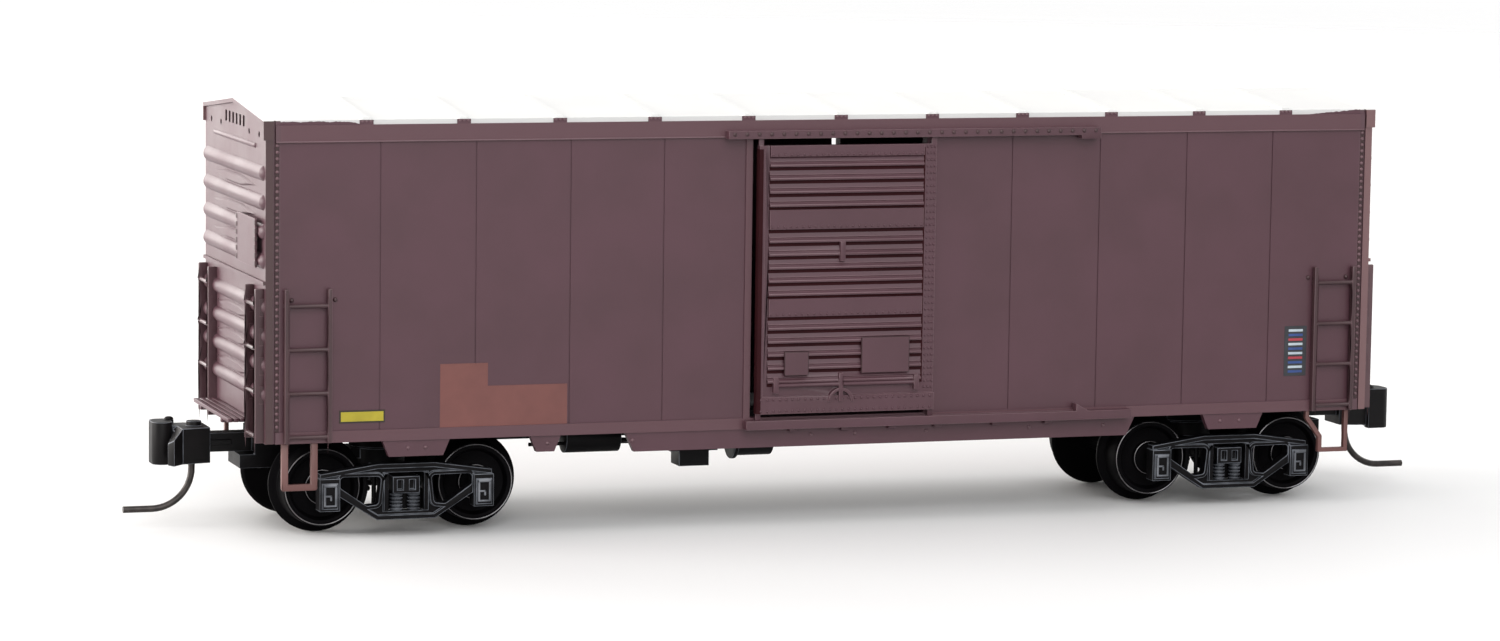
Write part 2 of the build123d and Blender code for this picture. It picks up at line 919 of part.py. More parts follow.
def make_valve():
    middle = -bearer_inner + valve_set
    near = -valve_out - valve_half
    top = floor_height
    valve = None
    for half, tall in valve_blocks:
        piece = block(middle - half, middle + half, near, near + 2 * valve_half, top - tall, top)
        valve = piece if valve is None else valve + piece
        top -= tall
    return valve


def frame_outline():
    # Right half of the cast side frame, from the top chord round to the foot, then mirrored, as (x, z).
    tip = axle_place + tip_reach
    half = [
        (chord_half, axle_height + chord_rise),
        (tip, axle_height + tip_rise),
        (tip, axle_height - tip_fall),
        (axle_place - diagonal_set, axle_height - diagonal_fall),
        (foot_half, axle_height - foot_fall),
    ]
    return half + [(-x, z) for x, z in reversed(half)]


def window_outline(end):
    # Middle line of the window's rounded edge at one end of the side frame, as (x, z).
    far = axle_place - window_set
    half = [
        (window_start, axle_height + window_top),
        (far, axle_height + window_tip_top),
        (far, axle_height + window_tip_low),
        (window_start + window_knee, axle_height - window_knee_fall),
        (window_start + window_side, axle_height - window_side_fall),
    ]
    return [(end * x, z) for x, z in half]


def side_frame():
    # Cast side frame on the near side: pocketed plate, rimmed windows, journal boxes and springs.
    outer = -frame_outer
    inner = -frame_inner
    pocket = outer + frame_pocket
    frame = plate_y(frame_outline(), outer, inner)
    frame -= plate_y(frame_outline(), outer, pocket, -frame_flange)
    for end in (-1, 1):
        frame += plate_y(window_outline(end), outer, pocket, window_round + window_rim)
    room = bolster_half + bolster_room
    column = room + frame_flange
    opening = bolster_top + bolster_head_room
    frame += block(-column, column, outer, pocket, spring_bottom, opening)
    frame -= block(-room, room, outer, inner, spring_bottom, opening)
    for end in (-1, 1):
        frame -= plate_y(window_outline(end), outer, inner, window_round)
        axle = end * axle_place
        left = axle - journal_half
        bottom = axle_height - journal_below
        top = axle_height + journal_above
        frame += block(left, left + 2 * journal_half, -journal_face, inner, bottom, top)
        lid = -journal_face - journal_lid
        margin = journal_half / 4
        lid_half = journal_half - margin
        lid_top = top - 2 * margin
        frame += block(axle - lid_half, axle + lid_half, lid, -journal_face, bottom + margin, lid_top)
        frame += spring(end * spring_place, (outer + inner) / 2)
    return frame


def spring(x, y):
    pitch = (bolster_bottom - spring_bottom) / spring_coils
    coil = rod_z(x, y, spring_bottom, bolster_bottom, spring_core)
    for turn in range(spring_coils):
        middle = spring_bottom + (turn + 0.5) * pitch
        coil += rod_z(x, y, middle - pitch / 4, middle + pitch / 4, spring_radius)
    return coil


def make_truck():
    # Right truck frame about its own centre: side frames, bolster, round centre plate and coupler arm.
    frame = side_frame()
    truck = block(-bolster_half, bolster_half, -frame_outer, frame_outer, bolster_bottom, bolster_top)
    slot_bottom = bolster_bottom + bolster_slot_margin
    slot_top = bolster_top - bolster_slot_margin
    for side in (-1, 1):
        ends = sorted([side * frame_outer, side * (frame_outer - bolster_slot_deep)])
        for place in (-bolster_slot_place, bolster_slot_place):
            left = place - bolster_slot_half
            truck -= block(left, left + 2 * bolster_slot_half, ends[0], ends[1], slot_bottom, slot_top)
    truck += rod_z(0, 0, bolster_bottom, plate_height, plate_radius)
    truck += block(0, box_back - truck_centre, -arm_half, arm_half, plate_height - arm_thick, plate_height)
    truck += frame
    truck += turned(frame)
    bore = frame_inner + stub_reach + stub_end_gap
    for end in (-1, 1):
        truck -= rod_y(end * axle_place, -bore, bore, axle_height, stub_radius + stub_clearance)
    return truck - rod_z(0, 0, bolster_bottom, plate_height, pin_radius + pin_clearance)


def make_wheelset():
    # Half profile of one moulded wheelset, as (radius, distance from the middle), turned about the axle.
    back = back_to_back / 2
    front = back + wheel_width
    rim = tread_radius - tread_cone - rim_thick
    hub = axle_radius + hub_thick
    end = frame_inner + stub_reach
    half = [
        (axle_radius, back),
        (flange_radius - flange_edge, back),
        (flange_radius, back + flange_edge),
        (flange_radius, back + 2 * flange_edge),
        (tread_radius + tread_cone, back + flange_width),
        (tread_radius - tread_cone, front),
        (rim, front),
        (rim - face_slope, front - face_recess),
        (hub + face_slope, front - face_recess),
        (hub, front),
        (stub_radius, front),
        (stub_radius, end),
        (0, end),
    ]
    profile = half + [(r, -y) for r, y in reversed(half)]
    face = make_face(Polyline(*[(r, y, 0) for r, y in profile], close=True))
    return Pos(0, 0, axle_height) * revolve(face, Axis.Y)


def make_coupler_box():
    # Coupler box on the arm of the right truck: pivot post, and a mouth over a lower lip.
    cavity_half = box_half - box_wall
    bottom = shank_bottom - slot_clearance
    top = shank_top + slot_clearance
    box = block(box_back, box_front, -box_half, box_half, box_bottom, box_top)
    box -= block(box_back + box_wall, box_front, -cavity_half, cavity_half, bottom, top)
    box -= block(box_front - box_mouth, box_front, -box_half, box_half, bottom, box_top)
    return box + rod_z(coupler_pivot, 0, bottom, top, pivot_radius)


def make_coupler():
    # Right coupler: eye on the box pivot, shank, head with its sloped guard arm, pin lug and round knuckle.
    coupler = block(coupler_pivot, head_back, -shank_half, shank_half, shank_bottom, shank_top)
    coupler += rod_z(coupler_pivot, 0, shank_bottom, shank_top, eye_radius)
    coupler -= rod_z(coupler_pivot, 0, shank_bottom, shank_top, pivot_radius + pivot_clearance)
    tip = head_back + head_reach
    guard = tip - guard_set
    face = head_back + head_face
    hinge = head_back + knuckle_hinge
    # Head from above, as (x, y): back, guard arm round to its tip, throat, knuckle side
    outline = [
        (head_back, -head_half),
        (head_back, head_half),
        (hinge, head_shoulder),
        (guard - guard_thick / 2, guard_tip),
        (guard, guard_tip - guard_thick),
        (face, head_half - guard_thick),
        (face, -head_shoulder),
        (head_back + head_half, -head_shoulder),
    ]
    head = plate_z(outline, head_bottom, head_top)
    slope = [(guard - guard_slope, head_top), (guard, head_top), (guard, head_top - guard_slope_drop)]
    head -= plate_y(slope, 0, guard_tip)
    coupler += head
    coupler += rod_z(head_back + lug_set, 0, head_top, head_top + lug_tall, lug_radius)
    nose = tip - knuckle_radius
    top = knuckle_bottom + knuckle_tall
    outer = -knuckle_wide - knuckle_radius
    knuckle = block(nose - knuckle_radius, tip, -knuckle_wide, -knuckle_nose, knuckle_bottom, top)
    for y in (-knuckle_wide, -knuckle_nose):
        knuckle += rod_z(nose, y, knuckle_bottom, top, knuckle_radius)
    knuckle += block(hinge, nose, outer, outer + knuckle_radius, knuckle_bottom, top)
    return coupler + knuckle


def make_trip_wire():
    # Bent wire below the right coupler: down, round a quarter turn and out.
    place = head_back + wire_set
    start = (place, 0, head_bottom)
    down = (place, 0, wire_height + wire_bend)
    out = (place + wire_bend, 0, wire_height)
    sag = wire_bend * (1 - 0.5**0.5)
    bow = (place + sag, 0, wire_height + sag)
    tail = Line(out, (place + wire_bend + wire_tail, 0, wire_height))
    path = Line(start, down) + ThreePointArc(down, bow, out) + tail
    section = Plane(origin=start, z_dir=(0, 0, -1)) * Circle(wire_radius)
    return sweep(section, path=path)


parts = {
    "floor": make_floor(),
    "centre_sill": make_centre_sill(),
    "cross_bearers": make_bearers(),
    "ballast_plate": make_ballast(),
    "brake_cylinder": make_brake_cylinder(),
    "air_reservoir": make_reservoir(),
    "control_valve": make_valve(),
    "roof": make_roof(),
    "brake_wheel": make_brake_wheel(),
    "end_board_left": make_end_board(),
}

# Pieces made once for the near side and turned for the far side
for name, shape in [
    ("side", make_side()),
    ("upper_track", make_upper_track()),
    ("lower_track", make_lower_track()),
    ("door", make_door()),
    ("door_boards", make_door_boards()),
]:
    parts[name + "_near"] = shape
    parts[name + "_far"] = turned(shape)

# Pieces made once for one end and turned for the other: name, that end, the other end, shape
for name, first, other, shape in [
    ("end", "left", "right", make_end()),
    ("platform", "left", "right", make_platform()),
    ("body_bolster", "left", "right", make_body_bolster()),
    ("truck_pin", "left", "right", make_truck_pin()),
    ("coupler_box", "right", "left", make_coupler_box()),
    ("coupler", "right", "left", make_coupler()),
    ("trip_wire", "right", "left", make_trip_wire()),
]:
    parts[f"{name}_{first}"] = shape
    parts[f"{name}_{other}"] = turned(shape)

# Corner pieces: name of the near corner, name of the corner it turns to, place of the ladder
for near, far, ladder_place in [
    ("left", "right", ladder_inset - half_length),
    ("right", "left", half_length - ladder_inset),
]:
    ladder = make_side_ladder(ladder_place)
    parts["side_ladder_near_" + near] = ladder
    parts["side_ladder_far_" + far] = turned(ladder)
    step = make_straight_step(step_inset - half_length) if near == "left" else make_kinked_step()
    parts["step_near_" + near] = step
    parts["step_far_" + far] = turned(step)
for side, other, sign in [("near", "far", -1), ("far", "near", 1)]:
    ladder = make_end_ladder(sign * (half_width - end_ladder_inset))
    parts["end_ladder_left_" + side] = ladder
    parts["end_ladder_right_" + other] = turned(ladder)

# Running gear, numbered from the left
truck = make_truck()
parts["truck_frame_left"] = shift(turned(truck), -truck_centre)
parts["truck_frame_right"] = shift(truck, truck_centre)
wheelset = make_wheelset()
axles = [centre + end * axle_place for centre in (-truck_centre, truck_centre) for end in (-1, 1)]
for number, place in enumerate(axles, start=1):
    parts[f"wheelset_{number}"] = shift(wheelset, place)

os.makedirs("parts", exist_ok=True)
for name, shape in parts.items():
    export_step(Pos(0, 0, flange_depth) * shape, f"parts/{name}.step")
print(len(parts), "pieces")
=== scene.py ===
import bpy
import json
import numpy as np
from math import radians
from mathutils import Euler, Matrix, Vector


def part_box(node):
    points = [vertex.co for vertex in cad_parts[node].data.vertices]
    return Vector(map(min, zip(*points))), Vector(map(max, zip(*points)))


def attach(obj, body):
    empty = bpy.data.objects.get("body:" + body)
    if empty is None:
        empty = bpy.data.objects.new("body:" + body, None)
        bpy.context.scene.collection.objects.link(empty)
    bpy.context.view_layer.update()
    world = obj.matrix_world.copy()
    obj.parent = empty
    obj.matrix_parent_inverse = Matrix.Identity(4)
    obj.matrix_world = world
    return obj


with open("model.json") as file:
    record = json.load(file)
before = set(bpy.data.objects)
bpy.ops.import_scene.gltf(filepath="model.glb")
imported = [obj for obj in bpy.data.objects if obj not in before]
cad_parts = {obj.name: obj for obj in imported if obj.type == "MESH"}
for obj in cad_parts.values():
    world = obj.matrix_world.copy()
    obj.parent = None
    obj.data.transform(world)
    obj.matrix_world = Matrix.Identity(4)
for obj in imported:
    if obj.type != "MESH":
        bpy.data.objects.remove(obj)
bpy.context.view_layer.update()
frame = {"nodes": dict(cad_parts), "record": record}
mm = 0.001


def boxMm(node):  # lowest and highest corner of a CAD piece, in millimetres
    low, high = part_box(node)
    return np.array(low) / mm, np.array(high) / mm


def tone(red, green, blue):  # a colour written as 0-255 screen values, turned into linear light
    screen = np.array([red, green, blue]) / 255
    linear = np.where(screen <= 0.04045, screen / 12.92, ((screen + 0.055) / 1.055) ** 2.4)
    return (*linear.tolist(), 1.0)


bodyLines = {  # millimetres
    "bandProud": 0.12,  # the bands along sill and eaves stand this far off the sheets
    "eaveRise": 0.3,  # from the seat of the roof up to its eaves
    "ribRise": 0.14,  # ribs of the roof above its sheet
    "endDeep": 0.95,  # from the end of the side sheet to the outer face of the end sheet
    "doorLug": 0.62,  # lugs below the door plate
}

# places that most details are set from, in millimetres, read off the CAD pieces
bandY = -boxMm("side_near")[0][1]
wallY = bandY - bodyLines["bandProud"]
sillZ = boxMm("end_left")[0][2]  # lower edge of the body
wallTop = boxMm("roof")[0][2]  # where the roof seats on the sides
eaveZ = wallTop + bodyLines["eaveRise"]
peakZ = boxMm("roof")[1][2] - bodyLines["ribRise"]  # ridge between the ribs of the roof
sideEnd = -boxMm("end_left")[1][0]  # where the side sheet stops
cornerX = sideEnd + bodyLines["endDeep"]  # outer face of the end sheet
doorLow, doorHigh = boxMm("door_near")
doorFoot = doorLow[2] + bodyLines["doorLug"]  # foot of the door plate, above its lugs
print("frame loaded:", len(frame["nodes"]), "pieces")


# shader groups

def newGroup(name, inputs, outputs):
    group = bpy.data.node_groups.new(name, "ShaderNodeTree")
    for label, kind, value in inputs:
        socket = group.interface.new_socket(label, in_out="INPUT", socket_type=kind)
        if value is not None:
            socket.default_value = value
    for label, kind in outputs:
        group.interface.new_socket(label, in_out="OUTPUT", socket_type=kind)
    return group, group.nodes.new("NodeGroupInput"), group.nodes.new("NodeGroupOutput")


def addNode(tree, kind, links=(), **values):  # links: (own input, socket that feeds it)
    node = tree.nodes.new(kind)
    for label, value in values.items():
        setattr(node, label, value)
    for label, source in links:
        tree.links.new(source, node.inputs[label])
    return node


def addMath(tree, operation, first, second=None):
    node = tree.nodes.new("ShaderNodeMath")
    node.operation = operation
    for index, value in enumerate((first, second)):
        if isinstance(value, (int, float)):
            node.inputs[index].default_value = value
        elif value is not None:
            tree.links.new(value, node.inputs[index])
    return node.outputs[0]


def addRange(tree, value, low, high, toLow=0.0, toHigh=1.0):  # from one span to another, held at the ends
    node = addNode(tree, "ShaderNodeMapRange", [("Value", value)])
    for label, level in zip(("From Min", "From Max", "To Min", "To Max"), (low, high, toLow, toHigh)):
        node.inputs[label].default_value = level
    return node.outputs[0]


def addMix(tree, factor, first, second):  # blend of two colours
    node = tree.nodes.new("ShaderNodeMix")
    node.data_type = "RGBA"
    for index, value in ((0, factor), (6, first), (7, second)):
        if isinstance(value, (int, float, tuple)):
            node.inputs[index].default_value = value
        else:
            tree.links.new(value, node.inputs[index])
    return node.outputs[2]


def addNoise(tree, place, scale, detail):
    node = addNode(tree, "ShaderNodeTexNoise", [("Vector", place)])
    node.inputs["Detail"].default_value = detail
    if isinstance(scale, (int, float)):
        node.inputs["Scale"].default_value = scale
    else:
        tree.links.new(scale, node.inputs["Scale"])
    return node.outputs[0]


grain = {  # fine skin of moulded and sprayed plastic
    "tooth": 9000.0,  # scale of the fine noise
    "ripple": 0.16,  # scale of the coarse noise, as a share of the fine one's
    "fine": 0.6,  # strength of the fine noise beside the coarse one
    "depth": 0.004,  # millimetres
}
mottleSpan = (0.35, 0.65)  # noise that gives the dark and the light shade of a paint film


def makeMouldGrain():  # coarse ripple plus fine tooth
    inputs = [("Vector", "NodeSocketVector", None), ("Tooth", "NodeSocketFloat", grain["tooth"])]
    group, start, end = newGroup("mouldGrain", inputs, [("Height", "NodeSocketFloat")])
    fine = addNoise(group, start.outputs["Vector"], start.outputs["Tooth"], 2)
    slow = addMath(group, "MULTIPLY", start.outputs["Tooth"], grain["ripple"])
    wave = addNoise(group, start.outputs["Vector"], slow, 2)
    fine = addMath(group, "MULTIPLY", fine, grain["fine"])
    group.links.new(addMath(group, "ADD", fine, wave), end.inputs["Height"])
    return group


def makePaintMottle():  # slow unevenness of a paint film: a shade lighter and darker, and duller in places
    inputs = [
        ("Vector", "NodeSocketVector", None),
        ("Light", "NodeSocketColor", (0.5, 0.5, 0.5, 1)),
        ("Dark", "NodeSocketColor", (0.4, 0.4, 0.4, 1)),
        ("Size", "NodeSocketFloat", 260.0),
        ("Gloss", "NodeSocketFloat", 0.42),
        ("Spread", "NodeSocketFloat", 0.08),
    ]
    outputs = [("Color", "NodeSocketColor"), ("Roughness", "NodeSocketFloat")]
    group, start, end = newGroup("paintMottle", inputs, outputs)
    cloud = addNoise(group, start.outputs["Vector"], start.outputs["Size"], 4)
    cloud = addRange(group, cloud, *mottleSpan)
    colour = addMix(group, cloud, start.outputs["Dark"], start.outputs["Light"])
    swing = addMath(group, "MULTIPLY", addMath(group, "SUBTRACT", cloud, 0.5), start.outputs["Spread"])
    group.links.new(colour, end.inputs["Color"])
    group.links.new(addMath(group, "ADD", start.outputs["Gloss"], swing), end.inputs["Roughness"])
    return group


mouldGrain = makeMouldGrain()
paintMottle = makePaintMottle()


# finishes

def startMaterial(name):
    material = bpy.data.materials.new(name)
    material.use_nodes = True
    tree = material.node_tree
    place = tree.nodes.new("ShaderNodeTexCoord").outputs["Object"]
    return material, tree, tree.nodes["Principled BSDF"], place


def useGroup(tree, group, links, **values):
    node = tree.nodes.new("ShaderNodeGroup")
    node.node_tree = group
    for label, value in values.items():
        node.inputs[label].default_value = value
    for label, source in links:
        tree.links.new(source, node.inputs[label])
    return node


def addGrain(tree, shader, place):  # bump from the mould grain
    skin = useGroup(tree, mouldGrain, [("Vector", place)], Tooth=grain["tooth"])
    bump = addNode(tree, "ShaderNodeBump", [("Height", skin.outputs["Height"])])
    bump.inputs["Strength"].default_value = 1
    bump.inputs["Distance"].default_value = grain["depth"] * mm
    tree.links.new(bump.outputs[0], shader.inputs["Normal"])


def splitMm(tree, place):  # the three coordinates of a place, in millimetres
    scaled = addNode(tree, "ShaderNodeVectorMath", [(0, place)], operation="SCALE")
    scaled.inputs["Scale"].default_value = 1 / mm
    axes = addNode(tree, "ShaderNodeSeparateXYZ", [("Vector", scaled.outputs["Vector"])])
    return axes.outputs["X"], axes.outputs["Y"], axes.outputs["Z"]


def makePlastic(name, light, dark, gloss, size=260.0, metal=0.0, ior=1.45, overlays=()):
    # mottled film over fine grain; an overlay is a mask worked out from the place, and the colour laid there
    material, tree, shader, place = startMaterial(name)
    film = useGroup(tree, paintMottle, [("Vector", place)], Light=light, Dark=dark, Size=size, Gloss=gloss)
    colour = film.outputs["Color"]
    for makeMask, other in overlays:
        colour = addMix(tree, makeMask(tree, place), colour, other)
    tree.links.new(colour, shader.inputs["Base Color"])
    tree.links.new(film.outputs["Roughness"], shader.inputs["Roughness"])
    shader.inputs["Metallic"].default_value = metal
    shader.inputs["IOR"].default_value = ior
    addGrain(tree, shader, place)
    return material


roofSkin = {  # millimetres; a lap is where the brown of the sides climbs the roof's edge: from, to, rise
    "ribPitch": 6.45,
    "tabHalf": 0.45,
    "tabStart": 8.97,
    "lapRight": (34.0, 38.0, 0.32),
    "lapLeft": (32.6, 33.2, 0.2),
    "ragged": 0.1,  # how far the top of a lap wanders
    "raggedFrom": 0.1,  # rise at which it wanders in full
    "raggedScale": 2600.0,  # of its noise
    "blur": 0.01,
    "edgeInset": 0.02,  # the face of the roof's edge, from the face of the side
}


def roofMask(tree, place):  # brown tabs, and brown laps with a ragged top at both ends of the edge
    values = roofSkin
    x, y, z = splitMm(tree, place)
    reach = addMath(tree, "ABSOLUTE", y)
    along = addMath(tree, "MULTIPLY", x, addMath(tree, "MULTIPLY", addMath(tree, "SIGN", y), -1.0))
    climbs = []
    for side, (start, stop, rise) in ((1.0, values["lapRight"]), (-1.0, values["lapLeft"])):
        climbs.append(addRange(tree, addMath(tree, "MULTIPLY", along, side), start, stop, 0.0, rise))
    climb = addMath(tree, "ADD", *climbs)
    speck = addMath(tree, "SUBTRACT", addNoise(tree, place, values["raggedScale"], 3), 0.5)
    swing = addRange(tree, climb, 0.0, values["raggedFrom"], 0.0, 2 * values["ragged"])
    edge = addMath(tree, "ADD", climb, addMath(tree, "MULTIPLY", speck, swing))
    height = addMath(tree, "SUBTRACT", z, wallTop)
    lapped = addRange(tree, addMath(tree, "SUBTRACT", edge, height), -values["blur"], values["blur"])
    onEdge = addMath(tree, "GREATER_THAN", reach, wallY - values["edgeInset"])
    across = addMath(tree, "PINGPONG", x, values["ribPitch"] / 2)
    tabFace = addMath(tree, "GREATER_THAN", reach, values["tabStart"])
    tab = addMath(tree, "MULTIPLY", addMath(tree, "LESS_THAN", across, values["tabHalf"]), tabFace)
    tab = addMath(tree, "MULTIPLY", tab, addMath(tree, "LESS_THAN", z, eaveZ))  # above it the rib is white
    return addMath(tree, "MAXIMUM", addMath(tree, "MULTIPLY", lapped, onEdge), tab)


def within(tree, value, low, high):  # 1 between two limits
    above = addMath(tree, "GREATER_THAN", value, low)
    return addMath(tree, "MULTIPLY", above, addMath(tree, "LESS_THAN", value, high))


endSkin = {  # millimetres
    "gable": (-0.04, -0.02),  # where the white starts and where it is full, from the slope of the roof
    "ventBack": 0.5,  # inner limit of the louvres, from the end of the side sheet
    "ventFront": 0.03,  # outer limit, from the outer face
    "ventInset": 1.0,  # from the sides
    "ventDrop": 1.5,  # below the seat of the roof
    "stripStart": 0.4,  # corner strips, from the end of the side sheet
    "stripInset": 0.05,  # from the face of the side
}


def gableMask(tree, place):  # the top of the end sheet, where the white of the roof runs over it
    y, z = splitMm(tree, place)[1:]
    slope = addRange(tree, addMath(tree, "ABSOLUTE", y), 0.0, wallY, peakZ, eaveZ)
    return addRange(tree, addMath(tree, "SUBTRACT", z, slope), *endSkin["gable"])


def ventShadeMask(tree, place):  # painted shade in the bottoms and sides of the louvres and bolt holes under the gable
    x, y, z = splitMm(tree, place)
    back, front = sideEnd + endSkin["ventBack"], cornerX - endSkin["ventFront"]
    sunk = within(tree, addMath(tree, "ABSOLUTE", x), back, front)
    inside = addMath(tree, "LESS_THAN", addMath(tree, "ABSOLUTE", y), wallY - endSkin["ventInset"])
    high = within(tree, z, wallTop - endSkin["ventDrop"], peakZ)
    return addMath(tree, "MULTIPLY", addMath(tree, "MULTIPLY", sunk, inside), high)


def cornerShadeAndHighlightMask(hand):  # strips outside the groove at two opposite corners; one pair gets painted shade, the other a painted highlight
    def mask(tree, place):
        x, y = splitMm(tree, place)[:2]
        face, start = wallY - endSkin["stripInset"], sideEnd + endSkin["stripStart"]
        onSide = addMath(tree, "GREATER_THAN", addMath(tree, "ABSOLUTE", y), face)
        outside = addMath(tree, "GREATER_THAN", addMath(tree, "ABSOLUTE", x), start)
        corner = addMath(tree, "MULTIPLY", addMath(tree, "MULTIPLY", x, y), hand)
        thisHand = addMath(tree, "GREATER_THAN", corner, 0.0)
        return addMath(tree, "MULTIPLY", addMath(tree, "MULTIPLY", onSide, outside), thisHand)

    return mask


def bandHighlightMask(tree, place):  # painted highlight: the bands along sill and eaves are painted lighter, as they catch more light than the sheets
    y = splitMm(tree, place)[1]
    halfway = wallY + bodyLines["bandProud"] / 2
    return addMath(tree, "GREATER_THAN", addMath(tree, "ABSOLUTE", y), halfway)


brown = dict(light=tone(87, 57, 66), dark=tone(82, 53, 61))
white = dict(light=tone(236, 236, 234), dark=tone(231, 231, 230))
# on the ends: painted shade in the louvres, painted shade and painted highlight on the corner strips, and
# the white of the roof over the gable
endOverlays = (
    (ventShadeMask, tone(44, 28, 30)),
    (cornerShadeAndHighlightMask(1.0), tone(60, 32, 35)),
    (cornerShadeAndHighlightMask(-1.0), tone(122, 90, 92)),
    (gableMask, white["light"]),
)
finishes = {  # light shade, dark shade, roughness and what else differs
    "brownPaint": dict(**brown, gloss=0.42),
    "sidePaint": dict(**brown, gloss=0.42, overlays=((bandHighlightMask, tone(96, 66, 73)),)),
    "endPaint": dict(**brown, gloss=0.45, ior=1.55, overlays=endOverlays),
    "roofPaint": dict(**white, gloss=0.5, size=180.0, overlays=((roofMask, brown["light"]),)),
    # painted highlight: a lighter copy of the brown, for edges, rivets, the eave bead and the tab bumps
    "brownEdgeHighlight": dict(light=tone(116, 88, 94), dark=tone(106, 79, 85), gloss=0.36),
    # painted shade: a darker copy of the brown, for the ladders and for rivets, bolts, clips and webs
    "ladderShade": dict(light=tone(72, 48, 52), dark=tone(64, 42, 46), gloss=0.42),
    # painted highlight: a lighter copy of the brown, for ladder edges and two end ladders
    "ladderHighlight": dict(light=tone(100, 74, 79), dark=tone(90, 66, 71), gloss=0.38),
    # painted shade: a darker copy of the brown, for strips behind rivets, end rivets and board outlines
    "brownShade": dict(light=tone(52, 27, 30), dark=tone(46, 24, 27), gloss=0.5),
    "doorShade": dict(light=tone(56, 24, 28), dark=tone(48, 20, 24), gloss=0.5, ior=1.15),
    "stepPaint": dict(light=tone(120, 83, 80), dark=tone(110, 75, 72), gloss=0.4),
    "blackPlastic": dict(light=tone(17, 16, 18), dark=tone(11, 10, 12), gloss=0.46, size=500.0, ior=1.18),
    "couplerBlack": dict(light=tone(21, 19, 20), dark=tone(14, 13, 14), gloss=0.46, size=500.0, ior=1.22),
    # painted highlight: light grey for the softened edges of black pieces
    "blackEdgeHighlight": dict(light=tone(122, 126, 134), dark=tone(66, 69, 75), gloss=0.4, size=900.0, ior=1.3),
    # painted highlight: light grey for the relief on the journal lids
    "blackLidHighlight": dict(light=tone(144, 147, 154), dark=tone(92, 95, 101), gloss=0.42, size=900.0, ior=1.3),
    "wheelBlack": dict(light=tone(13, 12, 14), dark=tone(9, 8, 10), gloss=0.5, size=700.0, ior=1.1),
    # painted highlight: bright metal for the rings on the wheels
    "rimHighlightMetal": dict(light=tone(150, 148, 150), dark=tone(110, 108, 110), gloss=0.3, metal=0.9, size=900.0),
    "wireSteel": dict(light=tone(66, 60, 58), dark=tone(40, 37, 36), gloss=0.36, metal=0.5, size=1500.0),
    "weightSteel": dict(light=tone(120, 120, 122), dark=tone(96, 96, 98), gloss=0.4, metal=1.0),
    "patchRed": dict(light=tone(126, 78, 73), dark=tone(117, 71, 67), gloss=0.45, size=500.0),
    "plateYellow": dict(light=tone(200, 184, 58), dark=tone(182, 166, 48), gloss=0.4, size=900.0),
    "plateEdge": dict(light=tone(48, 38, 28), dark=tone(36, 28, 22), gloss=0.45, size=900.0),
    "labelDark": dict(light=tone(52, 54, 60), dark=tone(42, 43, 48), gloss=0.4, size=900.0),
    "labelWhite": dict(light=tone(214, 226, 234), dark=tone(190, 204, 214), gloss=0.4, size=900.0),
    "labelBlue": dict(light=tone(62, 88, 150), dark=tone(52, 74, 132), gloss=0.4, size=900.0),
    "labelRed": dict(light=tone(190, 72, 84), dark=tone(172, 60, 72), gloss=0.4, size=900.0),
}
paint = {name: makePlastic(name, **values) for name, values in finishes.items()}
print("finishes:", len(paint))


# CAD pieces: finish, and softened edges that take a second paint, on most pieces a painted highlight or
# painted shade

slotFinish = {  # face, edge, edge radius in millimetres
    # edge paints lighter than their face are painted highlights
    "brown_plastic": ("brownPaint", "brownEdgeHighlight", 0.03),
    "white_roof": ("roofPaint", "roofPaint", 0),
    "black_plastic": ("blackPlastic", "blackEdgeHighlight", 0.04),
    "wheel_black": ("wheelBlack", "wheelBlack", 0.04),
    "steel_plate": ("weightSteel", "weightSteel", 0.08),
    "trip_wire": ("wireSteel", "wireSteel", 0),
}
nodeFinish = {  # pieces that differ from the rest of their slot
    "side_near": ("sidePaint", "sidePaint", 0),
    "side_far": ("sidePaint", "sidePaint", 0),
    "end_left": ("endPaint", "endPaint", 0),
    "end_right": ("endPaint", "endPaint", 0),
    "floor": ("blackPlastic", "blackPlastic", 0),
}
for side in ("near", "far"):
    # door boards take the dark brown on their edges, a painted shade outline
    nodeFinish["door_boards_" + side] = ("brownPaint", "brownShade", 0.05)
    for end in ("left", "right"):
        nodeFinish[f"side_ladder_{side}_{end}"] = ("ladderShade", "ladderHighlight", 0.04)
        nodeFinish[f"end_ladder_{end}_{side}"] = ("ladderShade", "ladderHighlight", 0.04)
        nodeFinish[f"step_{side}_{end}"] = ("stepPaint", "stepPaint", 0.04)
for end in ("left", "right"):
    # truck frames and couplers take light grey edges, a painted highlight
    nodeFinish["truck_frame_" + end] = ("blackPlastic", "blackEdgeHighlight", 0.042)
    nodeFinish["coupler_" + end] = ("couplerBlack", "blackEdgeHighlight", 0.04)
for name in ("end_ladder_right_near", "end_ladder_left_far"):  # painted highlight: paler all over, as if lit from their side
    nodeFinish[name] = ("ladderHighlight", "ladderHighlight", 0.04)
edgeAngle = 35  # degrees; an edge sharper than this is softened
smoothAngle = 40  # degrees; an edge sharper than this stays sharp in the shading
weldWithin = 0.0005  # millimetres


